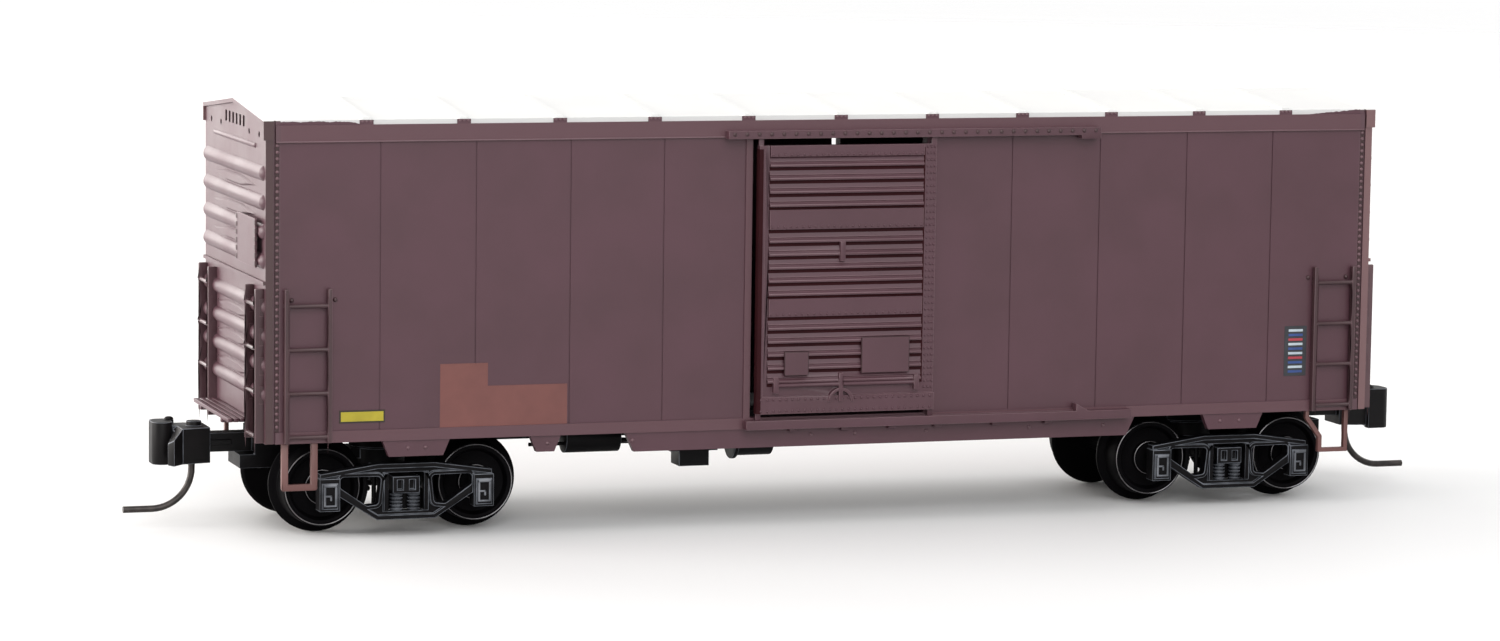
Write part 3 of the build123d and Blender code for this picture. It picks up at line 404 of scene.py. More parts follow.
def makeSmoothGroup(degrees):  # smooth shading, sharp where two faces meet at more than this angle
    group = bpy.data.node_groups.new(f"smoothBelow{degrees}", "GeometryNodeTree")
    group.interface.new_socket("Geometry", in_out="INPUT", socket_type="NodeSocketGeometry")
    group.interface.new_socket("Geometry", in_out="OUTPUT", socket_type="NodeSocketGeometry")
    start = group.nodes.new("NodeGroupInput")
    end = group.nodes.new("NodeGroupOutput")
    whole = group.nodes.new("GeometryNodeSetShadeSmooth")
    edges = group.nodes.new("GeometryNodeSetShadeSmooth")
    edges.domain = "EDGE"
    angle = group.nodes.new("GeometryNodeInputMeshEdgeAngle")
    below = group.nodes.new("FunctionNodeCompare")
    below.operation = "LESS_THAN"
    below.inputs["B"].default_value = radians(degrees)
    group.links.new(angle.outputs["Unsigned Angle"], below.inputs["A"])
    group.links.new(start.outputs[0], whole.inputs["Geometry"])
    group.links.new(whole.outputs[0], edges.inputs["Geometry"])
    group.links.new(below.outputs[0], edges.inputs["Shade Smooth"])
    group.links.new(edges.outputs[0], end.inputs[0])
    return group


smoothGroup = makeSmoothGroup(smoothAngle)


def softenEdges(piece, radius):
    weld = piece.modifiers.new("weld", "WELD")
    weld.merge_threshold = weldWithin * mm
    if radius:
        bevel = piece.modifiers.new("softEdge", "BEVEL")
        bevel.width = radius * mm
        bevel.segments = 2
        bevel.limit_method = "ANGLE"
        bevel.angle_limit = radians(edgeAngle)
        bevel.use_clamp_overlap = False
        # the bevel faces take the edge paint, which on most pieces is a painted highlight
        bevel.material = 1
    smooth = piece.modifiers.new("smooth", "NODES")
    smooth.node_group = smoothGroup
    weighted = piece.modifiers.new("normals", "WEIGHTED_NORMAL")
    weighted.keep_sharp = True


def finishNode(name, slot):
    face, edge, radius = nodeFinish.get(name, slotFinish[slot])
    piece = frame["nodes"][name]
    piece.data.materials.clear()
    piece.data.materials.append(paint[face])
    piece.data.materials.append(paint[edge])
    softenEdges(piece, radius)


for part in frame["record"]["subparts"]:
    finishNode(part["node"], part["material_slot"])
print("CAD pieces finished")


# mesh makers, all in millimetres

ringPoints = 8
ringTurn = np.arange(ringPoints) * 2 * np.pi / ringPoints
ringCap = np.array([[0, 1, 2, 3], [0, 3, 4, 7], [4, 5, 6, 7]])  # an eight-sided ring closed by three quads
domeLift = np.radians([0, 0, 38, 66])  # a sunk ring, the rim and two rings of a round head
near = np.array([0.0, -1.0, 0.0])
far = np.array([0.0, 1.0, 0.0])
up = np.array([0.0, 0.0, 1.0])
leftward = np.array([-1.0, 0.0, 0.0])
rightward = np.array([1.0, 0.0, 0.0])


def putMesh(name, shape, material, body):
    verts, faces = shape
    mesh = bpy.data.meshes.new(name)
    mesh.from_pydata((verts * mm).tolist(), [], faces.tolist())
    mesh.polygons.foreach_set("use_smooth", np.ones(len(mesh.polygons), bool))
    mesh.update()
    mesh.materials.append(paint[material])
    piece = bpy.data.objects.new(name, mesh)
    bpy.context.scene.collection.objects.link(piece)
    smooth = piece.modifiers.new("smooth", "NODES")
    smooth.node_group = smoothGroup
    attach(piece, body)


def putPair(name, shape, ends, material, body):
    # a shape on one body and, half turned, on its partner
    for end, mesh in zip(ends, (shape, turned(shape))):
        putMesh(f"{name}_{end}", mesh, material, f"{body}_{end}")


def ringFaces(rows):  # quads between rows of eight points, and a cap at both ends
    line, spot = np.meshgrid(np.arange(rows - 1) * ringPoints, np.arange(ringPoints), indexing="ij")
    after = (spot + 1) % ringPoints
    above = line + ringPoints
    walls = np.stack([line + spot, line + after, above + after, above + spot], -1)
    return np.concatenate([walls.reshape(-1, 4), ringCap[:, ::-1], ringCap + (rows - 1) * ringPoints])


def domes(spots, outward, radius, height, sink=0.03):
    # low round heads: radius * cos(lift) out and height * sin(lift) up, over a ring sunk in the sheet
    out = radius * np.cos(domeLift)
    rise = height * np.sin(domeLift)
    rise[0] = -sink
    along = far if abs(outward[0]) > 0.5 else rightward
    ring = np.cos(ringTurn)[:, None] * along + np.sin(ringTurn)[:, None] * np.cross(outward, along)
    points = (out[:, None, None] * ring + rise[:, None, None] * outward).reshape(-1, 3)
    spots = np.asarray(spots, float)
    faces = ringFaces(len(domeLift)) + np.arange(len(spots))[:, None, None] * len(points)
    return (spots[:, None] + points).reshape(-1, 3), faces.reshape(-1, 4)


def carried(path, outline, reference):
    # an eight-point outline (a, b) carried along a path: centre + a * reference + b * (ahead x reference)
    path = np.asarray(path, float)
    ahead = np.gradient(path, axis=0)
    ahead /= np.linalg.norm(ahead, axis=1, keepdims=True)
    across = np.cross(ahead, reference)
    points = path[:, None] + outline[:, :1] * reference + outline[:, 1:] * across[:, None]
    return points.reshape(-1, 3), ringFaces(len(path))


def roundSection(radius):
    return radius * np.stack([np.cos(ringTurn), np.sin(ringTurn)], -1)


def barSection(wide, tall, cut=0.04):  # a flat bar with its corners cut, half sizes given
    a, b = wide - cut, tall - cut
    half = np.array([(wide, -b), (wide, b), (a, tall), (-a, tall)])
    return np.concatenate([half, -half])  # the other half is the same after a half turn


def tube(path, radius, reference=up):
    return carried(path, roundSection(radius), reference)


def slab(low, high, edge=0.03):
    # a bar with eased edges: an eight-sided section (a box with its corners cut) between two insets
    low, high = np.asarray(low, float), np.asarray(high, float)
    inset = np.array([edge, 0, 0, edge])
    z = np.array([low[2], low[2] + edge, high[2] - edge, high[2]])
    x0, x1 = low[0] + inset, high[0] - inset
    y0, y1 = low[1] + inset, high[1] - inset
    x = np.stack([x0, x0 + edge, x1 - edge, x1, x1, x1 - edge, x0 + edge, x0], -1)
    y = np.stack([y0 + edge, y0, y0, y0 + edge, y1 - edge, y1, y1, y1 - edge], -1)
    points = np.stack(np.broadcast_arrays(x, y, z[:, None]), -1)
    return points.reshape(-1, 3), ringFaces(len(z))


def hoop(centre, radius, thick, steps=64):
    # a thin ring about Y: radius + thick * cos(section) out, thick * sin(section) along the axle
    around = np.arange(steps)[:, None] * 2 * np.pi / steps
    out = radius + thick * np.cos(ringTurn)
    width = np.broadcast_to(thick * np.sin(ringTurn), (steps, ringPoints))
    points = np.stack([out * np.cos(around), width, out * np.sin(around)], -1)
    line, spot = np.meshgrid(np.arange(steps), np.arange(ringPoints), indexing="ij")
    nextLine, nextSpot = (line + 1) % steps * ringPoints, (spot + 1) % ringPoints
    line = line * ringPoints
    faces = np.stack([line + spot, line + nextSpot, nextLine + nextSpot, nextLine + spot], -1)
    return points.reshape(-1, 3) + np.asarray(centre, float), faces.reshape(-1, 4)


def joined(shapes):  # several meshes as one
    starts = np.cumsum([0] + [len(verts) for verts, faces in shapes[:-1]])
    verts = np.concatenate([verts for verts, faces in shapes])
    return verts, np.concatenate([faces + start for (points, faces), start in zip(shapes, starts)])


def turned(shape, middle=0.0):  # the same shape after a half turn about a place along the car
    verts, faces = shape
    return verts * np.array([-1, -1, 1]) + np.array([2 * middle, 0, 0]), faces


def bothSides(shapes, middle=0.0):
    shape = joined(shapes)
    return joined([shape, turned(shape, middle)])


def spread(first, last, pitch):  # evenly spaced places, as near to the pitch as fits
    return np.linspace(first, last, max(2, int(round((last - first) / pitch)) + 1))


def places(x, y, z):  # one or more of the three is a list
    grids = np.broadcast_arrays(*np.atleast_1d(x, y, z))
    return np.stack([values.ravel() for values in grids], -1).astype(float)


# rivets along the upper door track, in the dark ladder brown as painted shade
trackRivets = {"radius": 0.15, "height": 0.08, "pitch": 0.85, "inset": 0.4, "drop": 0.22}


def makeTrackRivets():
    values = trackRivets
    low, high = boxMm("upper_track_near")
    along = spread(low[0] + values["inset"], high[0] - values["inset"], values["pitch"])
    spots = places(along, low[1], high[2] - values["drop"])
    rivets = domes(spots, near, values["radius"], values["height"])
    putMesh("trackRivets", bothSides([rivets]), "ladderShade", "car_body")


# rivets of the body, in the lighter edge brown as painted highlights: corner columns on strips of painted
# shade, and the plates below the sill
bodyRivets = {
    "radius": 0.13,
    "height": 0.1,
    "cornerSet": 0.2,  # from the end of the side sheet out onto the corner strip
    "cornerSpan": (1.1, 1.6),  # first rivet above the sill, last one below the eaves
    "cornerPitch": 0.42,
    "shadeHalf": 0.13,
    "shadeSpan": (0.75, 1.38),  # from above the sill to below the eaves
    "shadeDepth": (0.015, 0.02),  # proud of the sheet, sunk into it
    "shadeEdge": 0.005,
    "plateDrop": 0.5,  # below the sill
    "plates": (-29.41, -28.24, -20.02, -14.21, -1.79, 1.32, 6.4, 13.82, 19.24, 27.92, 29.34),
}


def makeBodyRivets():
    values = bodyRivets
    above, below = values["cornerSpan"]
    heights = spread(sillZ + above, eaveZ - below, values["cornerPitch"])
    half = values["shadeHalf"]
    proud, sunk = values["shadeDepth"]
    bottom, top = sillZ + values["shadeSpan"][0], eaveZ - values["shadeSpan"][1]
    spots, shadeStrips = [], []
    for side in (-1, 1):
        x = side * (sideEnd + values["cornerSet"])
        spots.append(places(x, -wallY, heights))
        low, high = (x - half, -wallY - proud, bottom), (x + half, -wallY + sunk, top)
        shadeStrips.append(slab(low, high, values["shadeEdge"]))
    spots.append(places(values["plates"], -wallY, sillZ - values["plateDrop"]))
    rivets = domes(np.concatenate(spots), near, values["radius"], values["height"])
    putMesh("bodyRivets", bothSides([rivets]), "brownEdgeHighlight", "car_body")
    putMesh("cornerShadeStrips", bothSides(shadeStrips), "brownShade", "car_body")


# rounded lower edge of the band along the eaves, in the lighter edge brown as a painted highlight
fasciaBead = {"drop": 1.38, "radius": 0.055, "past": 0.3}  # below the eaves, size, past the side sheet's end


def makeFasciaBead():
    reach = sideEnd + fasciaBead["past"]
    z = eaveZ - fasciaBead["drop"]
    bead = tube([(-reach, -bandY, z), (reach, -bandY, z)], fasciaBead["radius"])
    putMesh("fasciaBead", bothSides([bead]), "brownEdgeHighlight", "car_body")


# rivets of the pressed ends, between the ribs, in the dark brown as painted shade
endRivets = {
    "radius": 0.11,
    "height": 0.07,
    "columns": (-4.9, 0.3, 4.9),
    "lowest": 10.59,
    "highest": 22.94,
    "pitch": 1.88,
    "count": 3,
}


def makeEndRivets():
    values = endRivets
    steps = np.arange(values["count"]) * values["pitch"]
    heights = np.concatenate([values["lowest"] + steps, values["highest"] - steps])
    columns = np.array(values["columns"])
    spots = places(-cornerX, columns[:, None], heights)
    rivets = domes(spots, leftward, values["radius"], values["height"])
    putMesh("endRivets", bothSides([rivets]), "brownShade", "car_body")


# clips along both edges of the end board, in the dark ladder brown as painted shade
boardClips = {"count": 6, "wide": 0.34, "tall": 0.34, "proud": 0.04, "sink": 0.02, "inset": 0.1}


def makeBoardClips():
    values = boardClips
    low, high = boxMm("end_board_left")
    tall, half, inset = values["tall"], values["wide"] / 2, values["inset"]
    front, back = low[0] - values["proud"], high[0] - values["sink"]
    clips = []
    for edge in (low[1], high[1]):
        for z in np.linspace(low[2] + inset, high[2] - inset - tall, values["count"]):
            clips.append(slab((front, edge - half, z), (back, edge + half, z + tall)))
    putMesh("boardClips", joined(clips), "ladderShade", "car_body")


# clips that hold the lower door track, just under it
trackClips = {
    "lefts": (-3.43, 0.2, 3.57, 6.85, 11.0, 14.8),
    "wide": 0.5,
    "tall": 0.26,
    "overlap": 0.02,  # up into the track
    "depth": (0.3, 0.15),  # proud of the band, sunk into it
}


def makeTrackClips():
    values = trackClips
    bottom = boxMm("lower_track_near")[0][2]
    proud, sunk = values["depth"]
    clips = []
    for x in values["lefts"]:
        low = (x, -bandY - proud, bottom - values["tall"])
        clips.append(slab(low, (x + values["wide"], -bandY + sunk, bottom + values["overlap"])))
    putMesh("trackClips", bothSides(clips), "brownPaint", "car_body")


# rivets of a door: flange columns, foot rows and the rows along the flat bands
doorRivets = {
    "radius": 0.1,
    "height": 0.06,
    "pitch": 0.44,
    "plateFace": 9.6,
    "ribFace": 9.84,
    "flange": (0.12, 0.36, 0.62),  # columns, from the right edge
    "flangeSpan": (1.5, 17.6),  # above the foot of the door
    "foot": (0.2, 0.95),  # rows above the foot of the door
    "footInset": (0.3, 0.3),  # from the left and right edges
    "bands": (6.62, 12.42, 17.2),  # rows above the foot of the door
    "bandInset": (0.9, 1.1),
}


def doorRows(rows, inset):  # rivets in rows across the door, on the face of its ribs
    left, right = inset
    along = spread(doorLow[0] + left, doorHigh[0] - right, doorRivets["pitch"])
    return [places(along, -doorRivets["ribFace"], doorFoot + rise) for rise in rows]


def makeDoorRivets():
    values = doorRivets
    heights = spread(*(doorFoot + np.array(values["flangeSpan"])), values["pitch"])
    flat = [places(doorHigh[0] - inset, -values["plateFace"], heights) for inset in values["flange"]]
    proud = doorRows(values["foot"], values["footInset"]) + doorRows(values["bands"], values["bandInset"])
    groups = [np.concatenate(spots) for spots in (flat, proud)]
    rivets = joined([domes(spots, near, values["radius"], values["height"]) for spots in groups])
    putPair("doorRivets", rivets, ("near", "far"), "brownPaint", "door")


# shaded places of a door: the recess under each rib, the ends of the ribs and the leading edge
doorShade = {
    "ribs": (0.75, 0.95),  # from the left and right edges
    "groups": ((1.86, 6), (7.65, 6), (13.55, 5)),  # first recess above the foot, number of recesses
    "pitch": 0.88,
    "recess": (-0.06, 0.19),  # lower and upper edge
    "depth": (9.55, 9.625),  # back and front
    "edge": 0.01,
    "ribEnd": 0.14,  # width of the strip at the right ends of the ribs
    "topDrop": 0.9,  # below the top of the door
    "lead": (-0.02, 0.26),  # leading edge, from the left edge
    "leadDepth": (9.27, 9.85),
    "leadRise": 0.03,  # above the foot
    "leadEdge": 0.006,
}


def makeDoorShade():
    values = doorShade
    left, right = doorLow[0] + values["ribs"][0], doorHigh[0] - values["ribs"][1]
    back, front = values["depth"]
    low, high = values["recess"]
    strips = []
    for rise, count in values["groups"]:
        for z in doorFoot + rise + np.arange(count) * values["pitch"]:
            strips.append(slab((left, -front, z + low), (right, -back, z + high), values["edge"]))
    bottom, top = doorFoot + values["groups"][0][0], doorHigh[2] - values["topDrop"]
    ribEnd = right + values["ribEnd"]
    strips.append(slab((right, -front, bottom), (ribEnd, -back, top), values["edge"]))
    start, stop = (doorLow[0] + place for place in values["lead"])
    back, front = values["leadDepth"]
    corner = (start, -front, doorFoot + values["leadRise"])
    strips.append(slab(corner, (stop, -back, top), values["leadEdge"]))
    putPair("doorShade", joined(strips), ("near", "far"), "doorShade", "door")


# bolts beside the ladder tops, in the dark ladder brown as painted shade
ladderBolts = {
    "stileHalf": 0.13,  # half the width of a ladder's side bar
    "set": 0.42,  # beside the bar
    "drop": 0.75,  # below the ladder's top
    "radius": 0.17,
    "height": 0.16,
}


def makeLadderBolts():
    values = ladderBolts
    spots = []
    for corner, inward in (("left", 1), ("right", -1)):
        low, high = boxMm("side_ladder_near_" + corner)
        stiles = np.array([low[0] + values["stileHalf"], high[0] - values["stileHalf"]])
        spots.append(places(stiles + inward * values["set"], -wallY, high[2] - values["drop"]))
    bolts = domes(np.concatenate(spots), near, values["radius"], values["height"])
    putMesh("ladderBolts", bothSides([bolts]), "ladderShade", "car_body")


# webs that close the stiles of the end ladders against the ribs of the ends, painted shade on the near ones
# and painted highlight on the far ones
ladderWebs = {"stile": 0.27, "inset": 0.02, "edge": 0.01}


def makeLadderWebs():
    inset, stile = ladderWebs["inset"], ladderWebs["stile"]
    for place, material in (("near", "ladderShade"), ("far", "ladderHighlight")):
        low, high = boxMm("end_ladder_left_" + place)
        webs = []
        for y in (low[1], high[1] - stile):
            corner = (low[0] + inset, y + inset, low[2] + inset)
            opposite = (-cornerX + inset, y + stile - inset, high[2] - inset)
            webs.append(slab(corner, opposite, ladderWebs["edge"]))
        putMesh("ladderWebs_" + place, bothSides(webs), material, "car_body")


# three bumps on each tab along the eaves, in the lighter edge brown as painted highlights
tabBumps = {"count": 11, "pitch": 0.28, "radius": 0.09, "height": 0.05, "drop": 0.1}


def makeTabBumps():
    values = tabBumps
    reach = roofSkin["ribPitch"] * (values["count"] - 1) / 2
    tabs = np.linspace(-reach, reach, values["count"])[:, None] + np.array([-1, 0, 1]) * values["pitch"]
    spots = places(tabs.ravel(), -bandY, eaveZ - values["drop"])
    bumps = domes(spots, near, values["radius"], values["height"])
    putMesh("tabBumps", bothSides([bumps]), "brownEdgeHighlight", "car_body")


# markings: thin plates on the sheets, left, right, bottom, top
markings = {
    "thick": 0.025,
    "sink": 0.01,
    "patches": ((-27.28, -24.08, 9.88, 11.4), (-27.28, -18.71, 7.2, 9.9)),
    "plate": (-33.98, -30.94, 7.72, 8.56),
    "plateEdge": 0.11,
    "label": (32.6, 34.26, 8.97, 12.42),
    "labelMargin": 0.15,
    "bars": ("White", "Blue", "Red", "White", "Blue", "White", "Red", "Blue", "White", "Blue"),
    "barTall": 0.17,
    "barInset": 0.3,
}


def sheetPlate(left, right, bottom, top, front, thick):
    # a plate on the near side, with its edges eased by a third of its thickness
    low = (left, -wallY - front - thick, bottom)
    return slab(low, (right, -wallY - front + markings["sink"], top), thick / 3)


def makeMarkings():
    values = markings
    thick = values["thick"]
    left, right, bottom, top = values["plate"]
    edge = values["plateEdge"]
    pieces = {
        "patchRed": [sheetPlate(*patch, 0, thick) for patch in values["patches"]],
        "plateEdge": [sheetPlate(left, right, bottom, top, 0, thick)],
        "plateYellow": [sheetPlate(left + edge, right - edge, bottom + edge, top - edge, thick, thick)],
    }
    left, right, bottom, top = values["label"]
    pieces["labelDark"] = [sheetPlate(left, right, bottom, top, 0, thick)]
    margin, inset, half = values["labelMargin"], values["barInset"], values["barTall"] / 2
    pitch = (top - bottom - 2 * margin) / len(values["bars"])
    for number, colour in enumerate(values["bars"]):
        z = top - margin - (number + 0.5) * pitch
        bar = sheetPlate(left + inset, right - inset, z - half, z + half, thick, thick)
        pieces.setdefault("label" + colour, []).append(bar)
    for name, shapes in pieces.items():
        putMesh("marking_" + name, bothSides(shapes), name, "car_body")


# air pipe, brake rods and the pipes between the brake parts under the floor
underGear = {
    "pipe": (2.4, 6.2, 19.8, 0.2),  # from the middle line, height, half length, radius
    "piston": (2.4, 0.2, 0.1),  # length, radius, sunk into the cylinder
    "lever": (0.3, 0.16, 0.3, 4.4),  # width, half thickness, reach to either side of the piston
    "rod": (0.13, 19.8, 0.2),  # radius, reach from the middle of the car, below the piston
    "rodSets": (1.6, 4.1),  # of the left and the right rod, along the lever from the piston
    "hose": (0.14, 0.2),  # radius, sunk into reservoir and valve
    "tankSet": 0.4,  # off the middle of the reservoir
    "valveKnee": (0.8, 0.6),  # before the valve, off its middle
    "cylinderKnee": (0.5, 0.1),  # before the cylinder, and how far the hose is sunk into it
}


def makeUnderGear():
    values = underGear
    y, z, reach, radius = values["pipe"]
    shapes = [tube([(-reach, y, z), (reach, y, z)], radius)]
    low, high = boxMm("brake_cylinder")
    axisY = (low[1] + high[1]) / 2
    axisZ = low[2] + (high[1] - low[1]) / 2
    long, radius, sunk = values["piston"]
    end = high[0] + long
    shapes.append(tube([(high[0] - sunk, axisY, axisZ), (end, axisY, axisZ)], radius))
    wide, thick, behind, ahead = values["lever"]
    corner = (end - wide, axisY - behind, axisZ - thick)
    shapes.append(slab(corner, (end, axisY + ahead, axisZ + thick)))
    radius, reach, drop = values["rod"]
    for way, rodSet in zip((-1, 1), values["rodSets"]):
        y, z = axisY + rodSet, axisZ - drop
        ends = [(end - wide / 2, y, z), (way * reach, y, z)]
        shapes.append(tube(ends[::way], radius))
    tankLow, tankHigh = boxMm("air_reservoir")
    valveLow, valveHigh = boxMm("control_valve")
    radius, sunk = values["hose"]
    tankEnd, tankY = tankHigh[0] - sunk, (tankLow[1] + tankHigh[1]) / 2
    valveStart, valveEnd = valveLow[0] + sunk, valveHigh[0] - sunk
    valveY = (valveLow[1] + valveHigh[1]) / 2
    before, off = values["valveKnee"]
    knee = (valveStart - before, valveY + off)
    fromTank = [(tankEnd, tankY - values["tankSet"]), knee, (valveStart, valveY)]
    before, sunk = values["cylinderKnee"]
    toCylinder = [(valveEnd, valveY), (low[0] - before, axisY), (low[0] + sunk, axisY)]
    for hose in (fromTank, toCylinder):
        shapes.append(tube([(x, y, axisZ) for x, y in hose], radius))
    putMesh("underGear", joined(shapes), "blackPlastic", "car_body")


def wheelCentre(number):
    low, high = boxMm(f"wheelset_{number}")
    return (low + high) / 2


truckAxles = {"left": (wheelCentre(1), wheelCentre(2)), "right": (wheelCentre(3), wheelCentre(4))}

# trucks: relief of the journal lids, brake shoes on their beams, hangers, and planks behind the springs
truckGear = {
    "hinge": (0.4, 0.12, 0.42),  # half length, radius, above the axle
    "bars": (0.36, 0.06, -0.98, 0.32),  # from the middle, half width, lower and upper end about the axle
    "hook": (0.1, -0.22, -0.58),  # right edge, upper and lower end of the catch inside the U
    "lidDepth": (0.07, 0.03),  # proud of the lid, sunk into it
    # radius, half thickness, half angle in degrees, off the middle line, half width
    "shoe": (2.95, 0.17, 26, 5.2, 0.6),
    "shoeRows": 7,
    "beam": (0.26, 0.2, 0.3),  # behind the shoe, radius, below the axle
    # off the truck's middle, off the middle line, radius, lower and upper end about the axle
    "hanger": (1.75, 6.2, 0.16, -1.3, 1.3),
    "plank": (1.25, 6.8, 7.02, -1.45, -0.2),  # half length, inner and outer face, lower and upper edge
}


def lidRelief(axle, face):  # hinge rod, U of raised bars and a catch on a journal lid of the near side
    x, z = axle[0], axle[2]
    half, radius, rise = truckGear["hinge"]
    shapes = [tube([(x - half, face, z + rise), (x + half, face, z + rise)], radius)]
    place, wide, low, high = truckGear["bars"]
    proud, sunk = truckGear["lidDepth"]
    front, back = face - proud, face + sunk
    for side in (-1, 1):
        middle = x + side * place
        shapes.append(slab((middle - wide, front, z + low), (middle + wide, back, z + high)))
    shapes.append(slab((x - place, front, z + low), (x + place, back, z + low + 2 * wide)))
    right, high, low = truckGear["hook"]
    shapes.append(slab((x - place, front, z + high - 2 * wide), (x + right, back, z + high)))
    shapes.append(slab((x + right - 2 * wide, front, z + low), (x + right, back, z + high)))
    return shapes


def brakeShoes(axle, towards):  # a curved block before the tread of each wheel, and the beam between them
    x, z = axle[0], axle[2]
    radius, thick, angle, place, wide = truckGear["shoe"]
    turn = np.radians(np.linspace(-angle, angle, truckGear["shoeRows"]))
    section = barSection(wide, thick)
    shapes = []
    for side in (-1, 1):
        path = places(x + towards * radius * np.cos(turn), side * place, z + radius * np.sin(turn))
        shapes.append(carried(path, section, far))
    behind, thick, drop = truckGear["beam"]
    beamX, beamZ = x + towards * (radius + behind), z - drop
    return shapes + [tube([(beamX, -place, beamZ), (beamX, place, beamZ)], thick)]


def makeTruckGear():
    half, inner, outer, low, high = truckGear["plank"]
    place, y, radius, bottom, top = truckGear["hanger"]
    for name, axles in truckAxles.items():
        middle = (axles[0][0] + axles[1][0]) / 2
        z = axles[0][2]
        face = boxMm("truck_frame_" + name)[0][1]
        lids = lidRelief(axles[0], face) + lidRelief(axles[1], face)
        # the lid relief is light grey, a painted highlight
        putMesh("truckLids_" + name, bothSides(lids, middle), "blackLidHighlight", "truck_" + name)
        plank = slab((middle - half, -outer, z + low), (middle + half, -inner, z + high))
        hangers = []
        for x in (middle - place, middle + place):
            hangers.append(tube([(x, -y, z + bottom), (x, -y, z + top)], radius, near))
        shapes = brakeShoes(axles[0], 1) + brakeShoes(axles[1], -1)
        shapes += [bothSides([plank], middle), bothSides(hangers, middle)]
        putMesh("truckBrakes_" + name, joined(shapes), "blackPlastic", "truck_" + name)


# couplers: ribs along the shank and the head of the knuckle pin, for the right coupler
couplerGear = {
    "rib": (39.2, 40.75, 0.65, 0.84, 5.4, 5.75),  # from, to, inner and outer face, lower and upper edge
    "pin": (42.95, -1.3, 0.32, 0.16),  # place, from the middle line, radius, height
}


def makeCouplerGear():
    start, stop, inner, outer, low, high = couplerGear["rib"]
    shapes = [slab((start, -outer, low), (stop, -inner, high))]
    shapes.append(slab((start, inner, low), (stop, outer, high)))
    x, y, radius, height = couplerGear["pin"]
    shapes.append(domes([(x, y, boxMm("coupler_right")[1][2])], up, radius, height))
    putPair("couplerGear", joined(shapes), ("right", "left"), "couplerBlack", "coupler")


# painted highlights: bright metal rings on the edges of the wheels and about their hubs
wheelHighlightRings = {"rims": ((2.47, 0.035), (1.12, 0.025)), "face": 6.0}


def makeWheelHighlightRings():
    for number in range(1, 5):
        x, z = wheelCentre(number)[[0, 2]]
        shapes = []
        for side in (-1, 1):
            centre = (x, side * wheelHighlightRings["face"], z)
            shapes += [hoop(centre, radius, thick) for radius, thick in wheelHighlightRings["rims"]]
        putMesh(f"wheelHighlightRings_{number}", joined(shapes), "rimHighlightMetal", f"wheelset_{number}")


makeTrackRivets()
makeBodyRivets()
makeFasciaBead()
makeEndRivets()
makeBoardClips()
makeTrackClips()
makeDoorRivets()
makeDoorShade()
makeLadderBolts()
makeLadderWebs()
makeTabBumps()
makeMarkings()
makeUnderGear()
makeTruckGear()
makeCouplerGear()
makeWheelHighlightRings()
print("details added")


# stage, light and camera

stage = {
    "floorRadius": 0.9,
    "floorSpokes": 64,
    "floorRings": 24,
    "floorHub": 0.02,  # the innermost ring, before the power below spreads the rings outwards
    "floorSpread": 1.5,
    "floorRough": 0.6,
    "fadeFrom": 0.28,
    "fadeTo": 0.8,
    "floor": tone(250, 250, 250),
    "floorBounce": (0.2, 0.2, 0.2, 1.0),  # what the floor throws back onto the object
    "ambient": 0.45,
    "warm": (1.0, 0.96, 0.92),
    # place and aim in metres, size, watts, whether warm
    "lamps": {
        "leftSoftbox": ((-0.65, 0.1, 0.12), (-0.03, 0.0, 0.015), 0.5, 6.2, True),
        "rearPanel": ((-0.32, 0.72, 0.12), (-0.038, 0.0, 0.018), 0.7, 5.4, True),
        "topSoftbox": ((-0.1, -0.25, 0.8), (0.0, 0.0, 0.02), 0.8, 1.4, False),
        "frontFill": ((-0.05, -0.8, 0.42), (0.0, 0.0, 0.015), 0.7, 4.4, False),
        "backFill": ((0.7, 0.35, 0.3), (0.0, 0.0, 0.015), 0.6, 2.0, False),
    },
}


def addSeen(tree):  # 1 where a surface is seen or mirrored, 0 where it only lights others
    rays = tree.nodes.new("ShaderNodeLightPath")
    seen = addMath(tree, "MAXIMUM", rays.outputs["Is Camera Ray"], rays.outputs["Is Glossy Ray"])
    return addMath(tree, "MAXIMUM", seen, rays.outputs["Is Transmission Ray"])


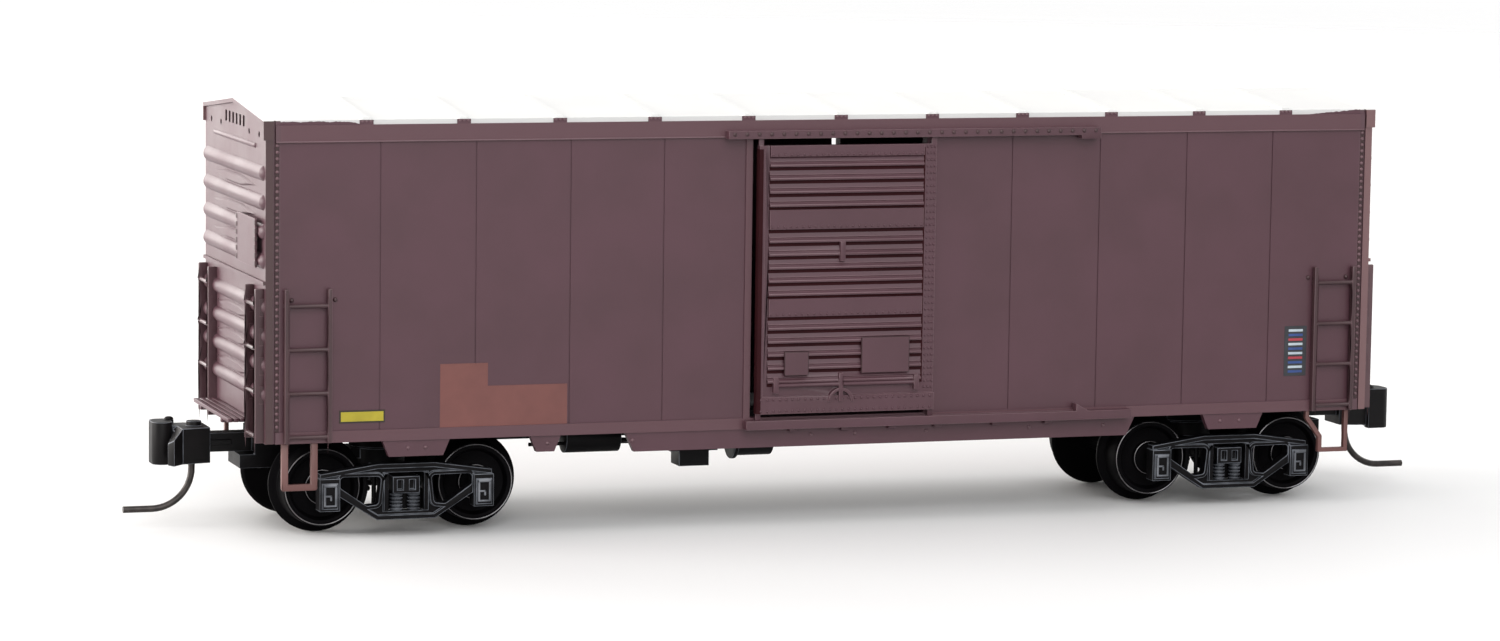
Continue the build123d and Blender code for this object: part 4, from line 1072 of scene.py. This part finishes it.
def makeFloor():
    # a flat disc: radius * (cos, sin) on rings that widen outwards
    spokes = stage["floorSpokes"]
    rings = np.linspace(stage["floorHub"], 1, stage["floorRings"])[:, None] ** stage["floorSpread"]
    rings = rings * stage["floorRadius"]
    around = np.arange(spokes) * 2 * np.pi / spokes
    level = np.zeros((len(rings), spokes))
    points = np.stack([rings * np.cos(around), rings * np.sin(around), level], -1).reshape(-1, 3)
    line, spoke = np.meshgrid(np.arange(len(rings) - 1) * spokes, np.arange(spokes), indexing="ij")
    after = (spoke + 1) % spokes
    faces = np.stack([line + spoke, line + spokes + spoke, line + spokes + after, line + after], -1)
    mesh = bpy.data.meshes.new("floorDisc")
    mesh.from_pydata(points.tolist(), [], faces.reshape(-1, 4).tolist() + [list(range(spokes))])
    material, tree, shader, place = startMaterial("floorPale")
    shader.inputs["Roughness"].default_value = stage["floorRough"]
    colour = addMix(tree, addSeen(tree), stage["floorBounce"], stage["floor"])
    tree.links.new(colour, shader.inputs["Base Color"])
    distance = addNode(tree, "ShaderNodeVectorMath", [("Vector", place)], operation="LENGTH")
    fade = addRange(tree, distance.outputs["Value"], stage["fadeFrom"], stage["fadeTo"])
    below = tree.nodes.new("ShaderNodeNewGeometry").outputs["Backfacing"]  # clear when looked at from below
    fade = addMath(tree, "MAXIMUM", fade, below)
    clear = tree.nodes.new("ShaderNodeBsdfTransparent")
    links = [(0, fade), (1, shader.outputs[0]), (2, clear.outputs[0])]
    blend = addNode(tree, "ShaderNodeMixShader", links)
    tree.links.new(blend.outputs[0], tree.nodes["Material Output"].inputs["Surface"])
    mesh.materials.append(material)
    floor = bpy.data.objects.new("floorDisc", mesh)
    bpy.context.scene.collection.objects.link(floor)


def makeWorld():  # white where it is seen or mirrored, dimmer as light
    world = bpy.data.worlds.new("studio")
    bpy.context.scene.world = world
    world.use_nodes = True
    tree = world.node_tree
    background = tree.nodes["Background"]
    background.inputs["Color"].default_value = (1, 1, 1, 1)
    level = addRange(tree, addSeen(tree), 0.0, 1.0, stage["ambient"], 1.0)
    tree.links.new(level, background.inputs["Strength"])


def makeLamps():
    for name, (place, aim, size, watts, warm) in stage["lamps"].items():
        lamp = bpy.data.lights.new(name, "AREA")
        lamp.shape = "SQUARE"
        lamp.size = size
        lamp.energy = watts
        if warm:
            lamp.color = stage["warm"]
        holder = bpy.data.objects.new(name, lamp)
        holder.location = place
        holder.rotation_euler = (Vector(aim) - Vector(place)).to_track_quat("-Z", "Y").to_euler()
        bpy.context.scene.collection.objects.link(holder)


photoView = {  # camera worked out from the photograph
    "place": (-0.106663, -0.305175, 0.04931),
    "yaw": 18.743,
    "pitch": 6.489,
    "roll": 0.767,
    "lens": 114.415,
    "sensor": 36,  # millimetres, as the lens is
    "clipStart": 0.01,
}


def makeCamera():
    camera = bpy.data.cameras.new("photoCamera")
    camera.lens = photoView["lens"]
    camera.sensor_fit = "HORIZONTAL"
    camera.sensor_width = photoView["sensor"]
    camera.clip_start = photoView["clipStart"]
    holder = bpy.data.objects.new("photoCamera", camera)
    turn = Euler((0, 0, radians(-photoView["yaw"]))).to_matrix()
    tilt = Euler((radians(90 - photoView["pitch"]), 0, 0)).to_matrix()
    roll = Euler((0, 0, radians(photoView["roll"]))).to_matrix()
    holder.matrix_world = (turn @ tilt @ roll).to_4x4()
    holder.location = photoView["place"]
    bpy.context.scene.collection.objects.link(holder)
    bpy.context.scene.camera = holder


makeFloor()
makeWorld()
makeLamps()
makeCamera()
bpy.context.scene.view_settings.view_transform = "Standard"
print("stage set")
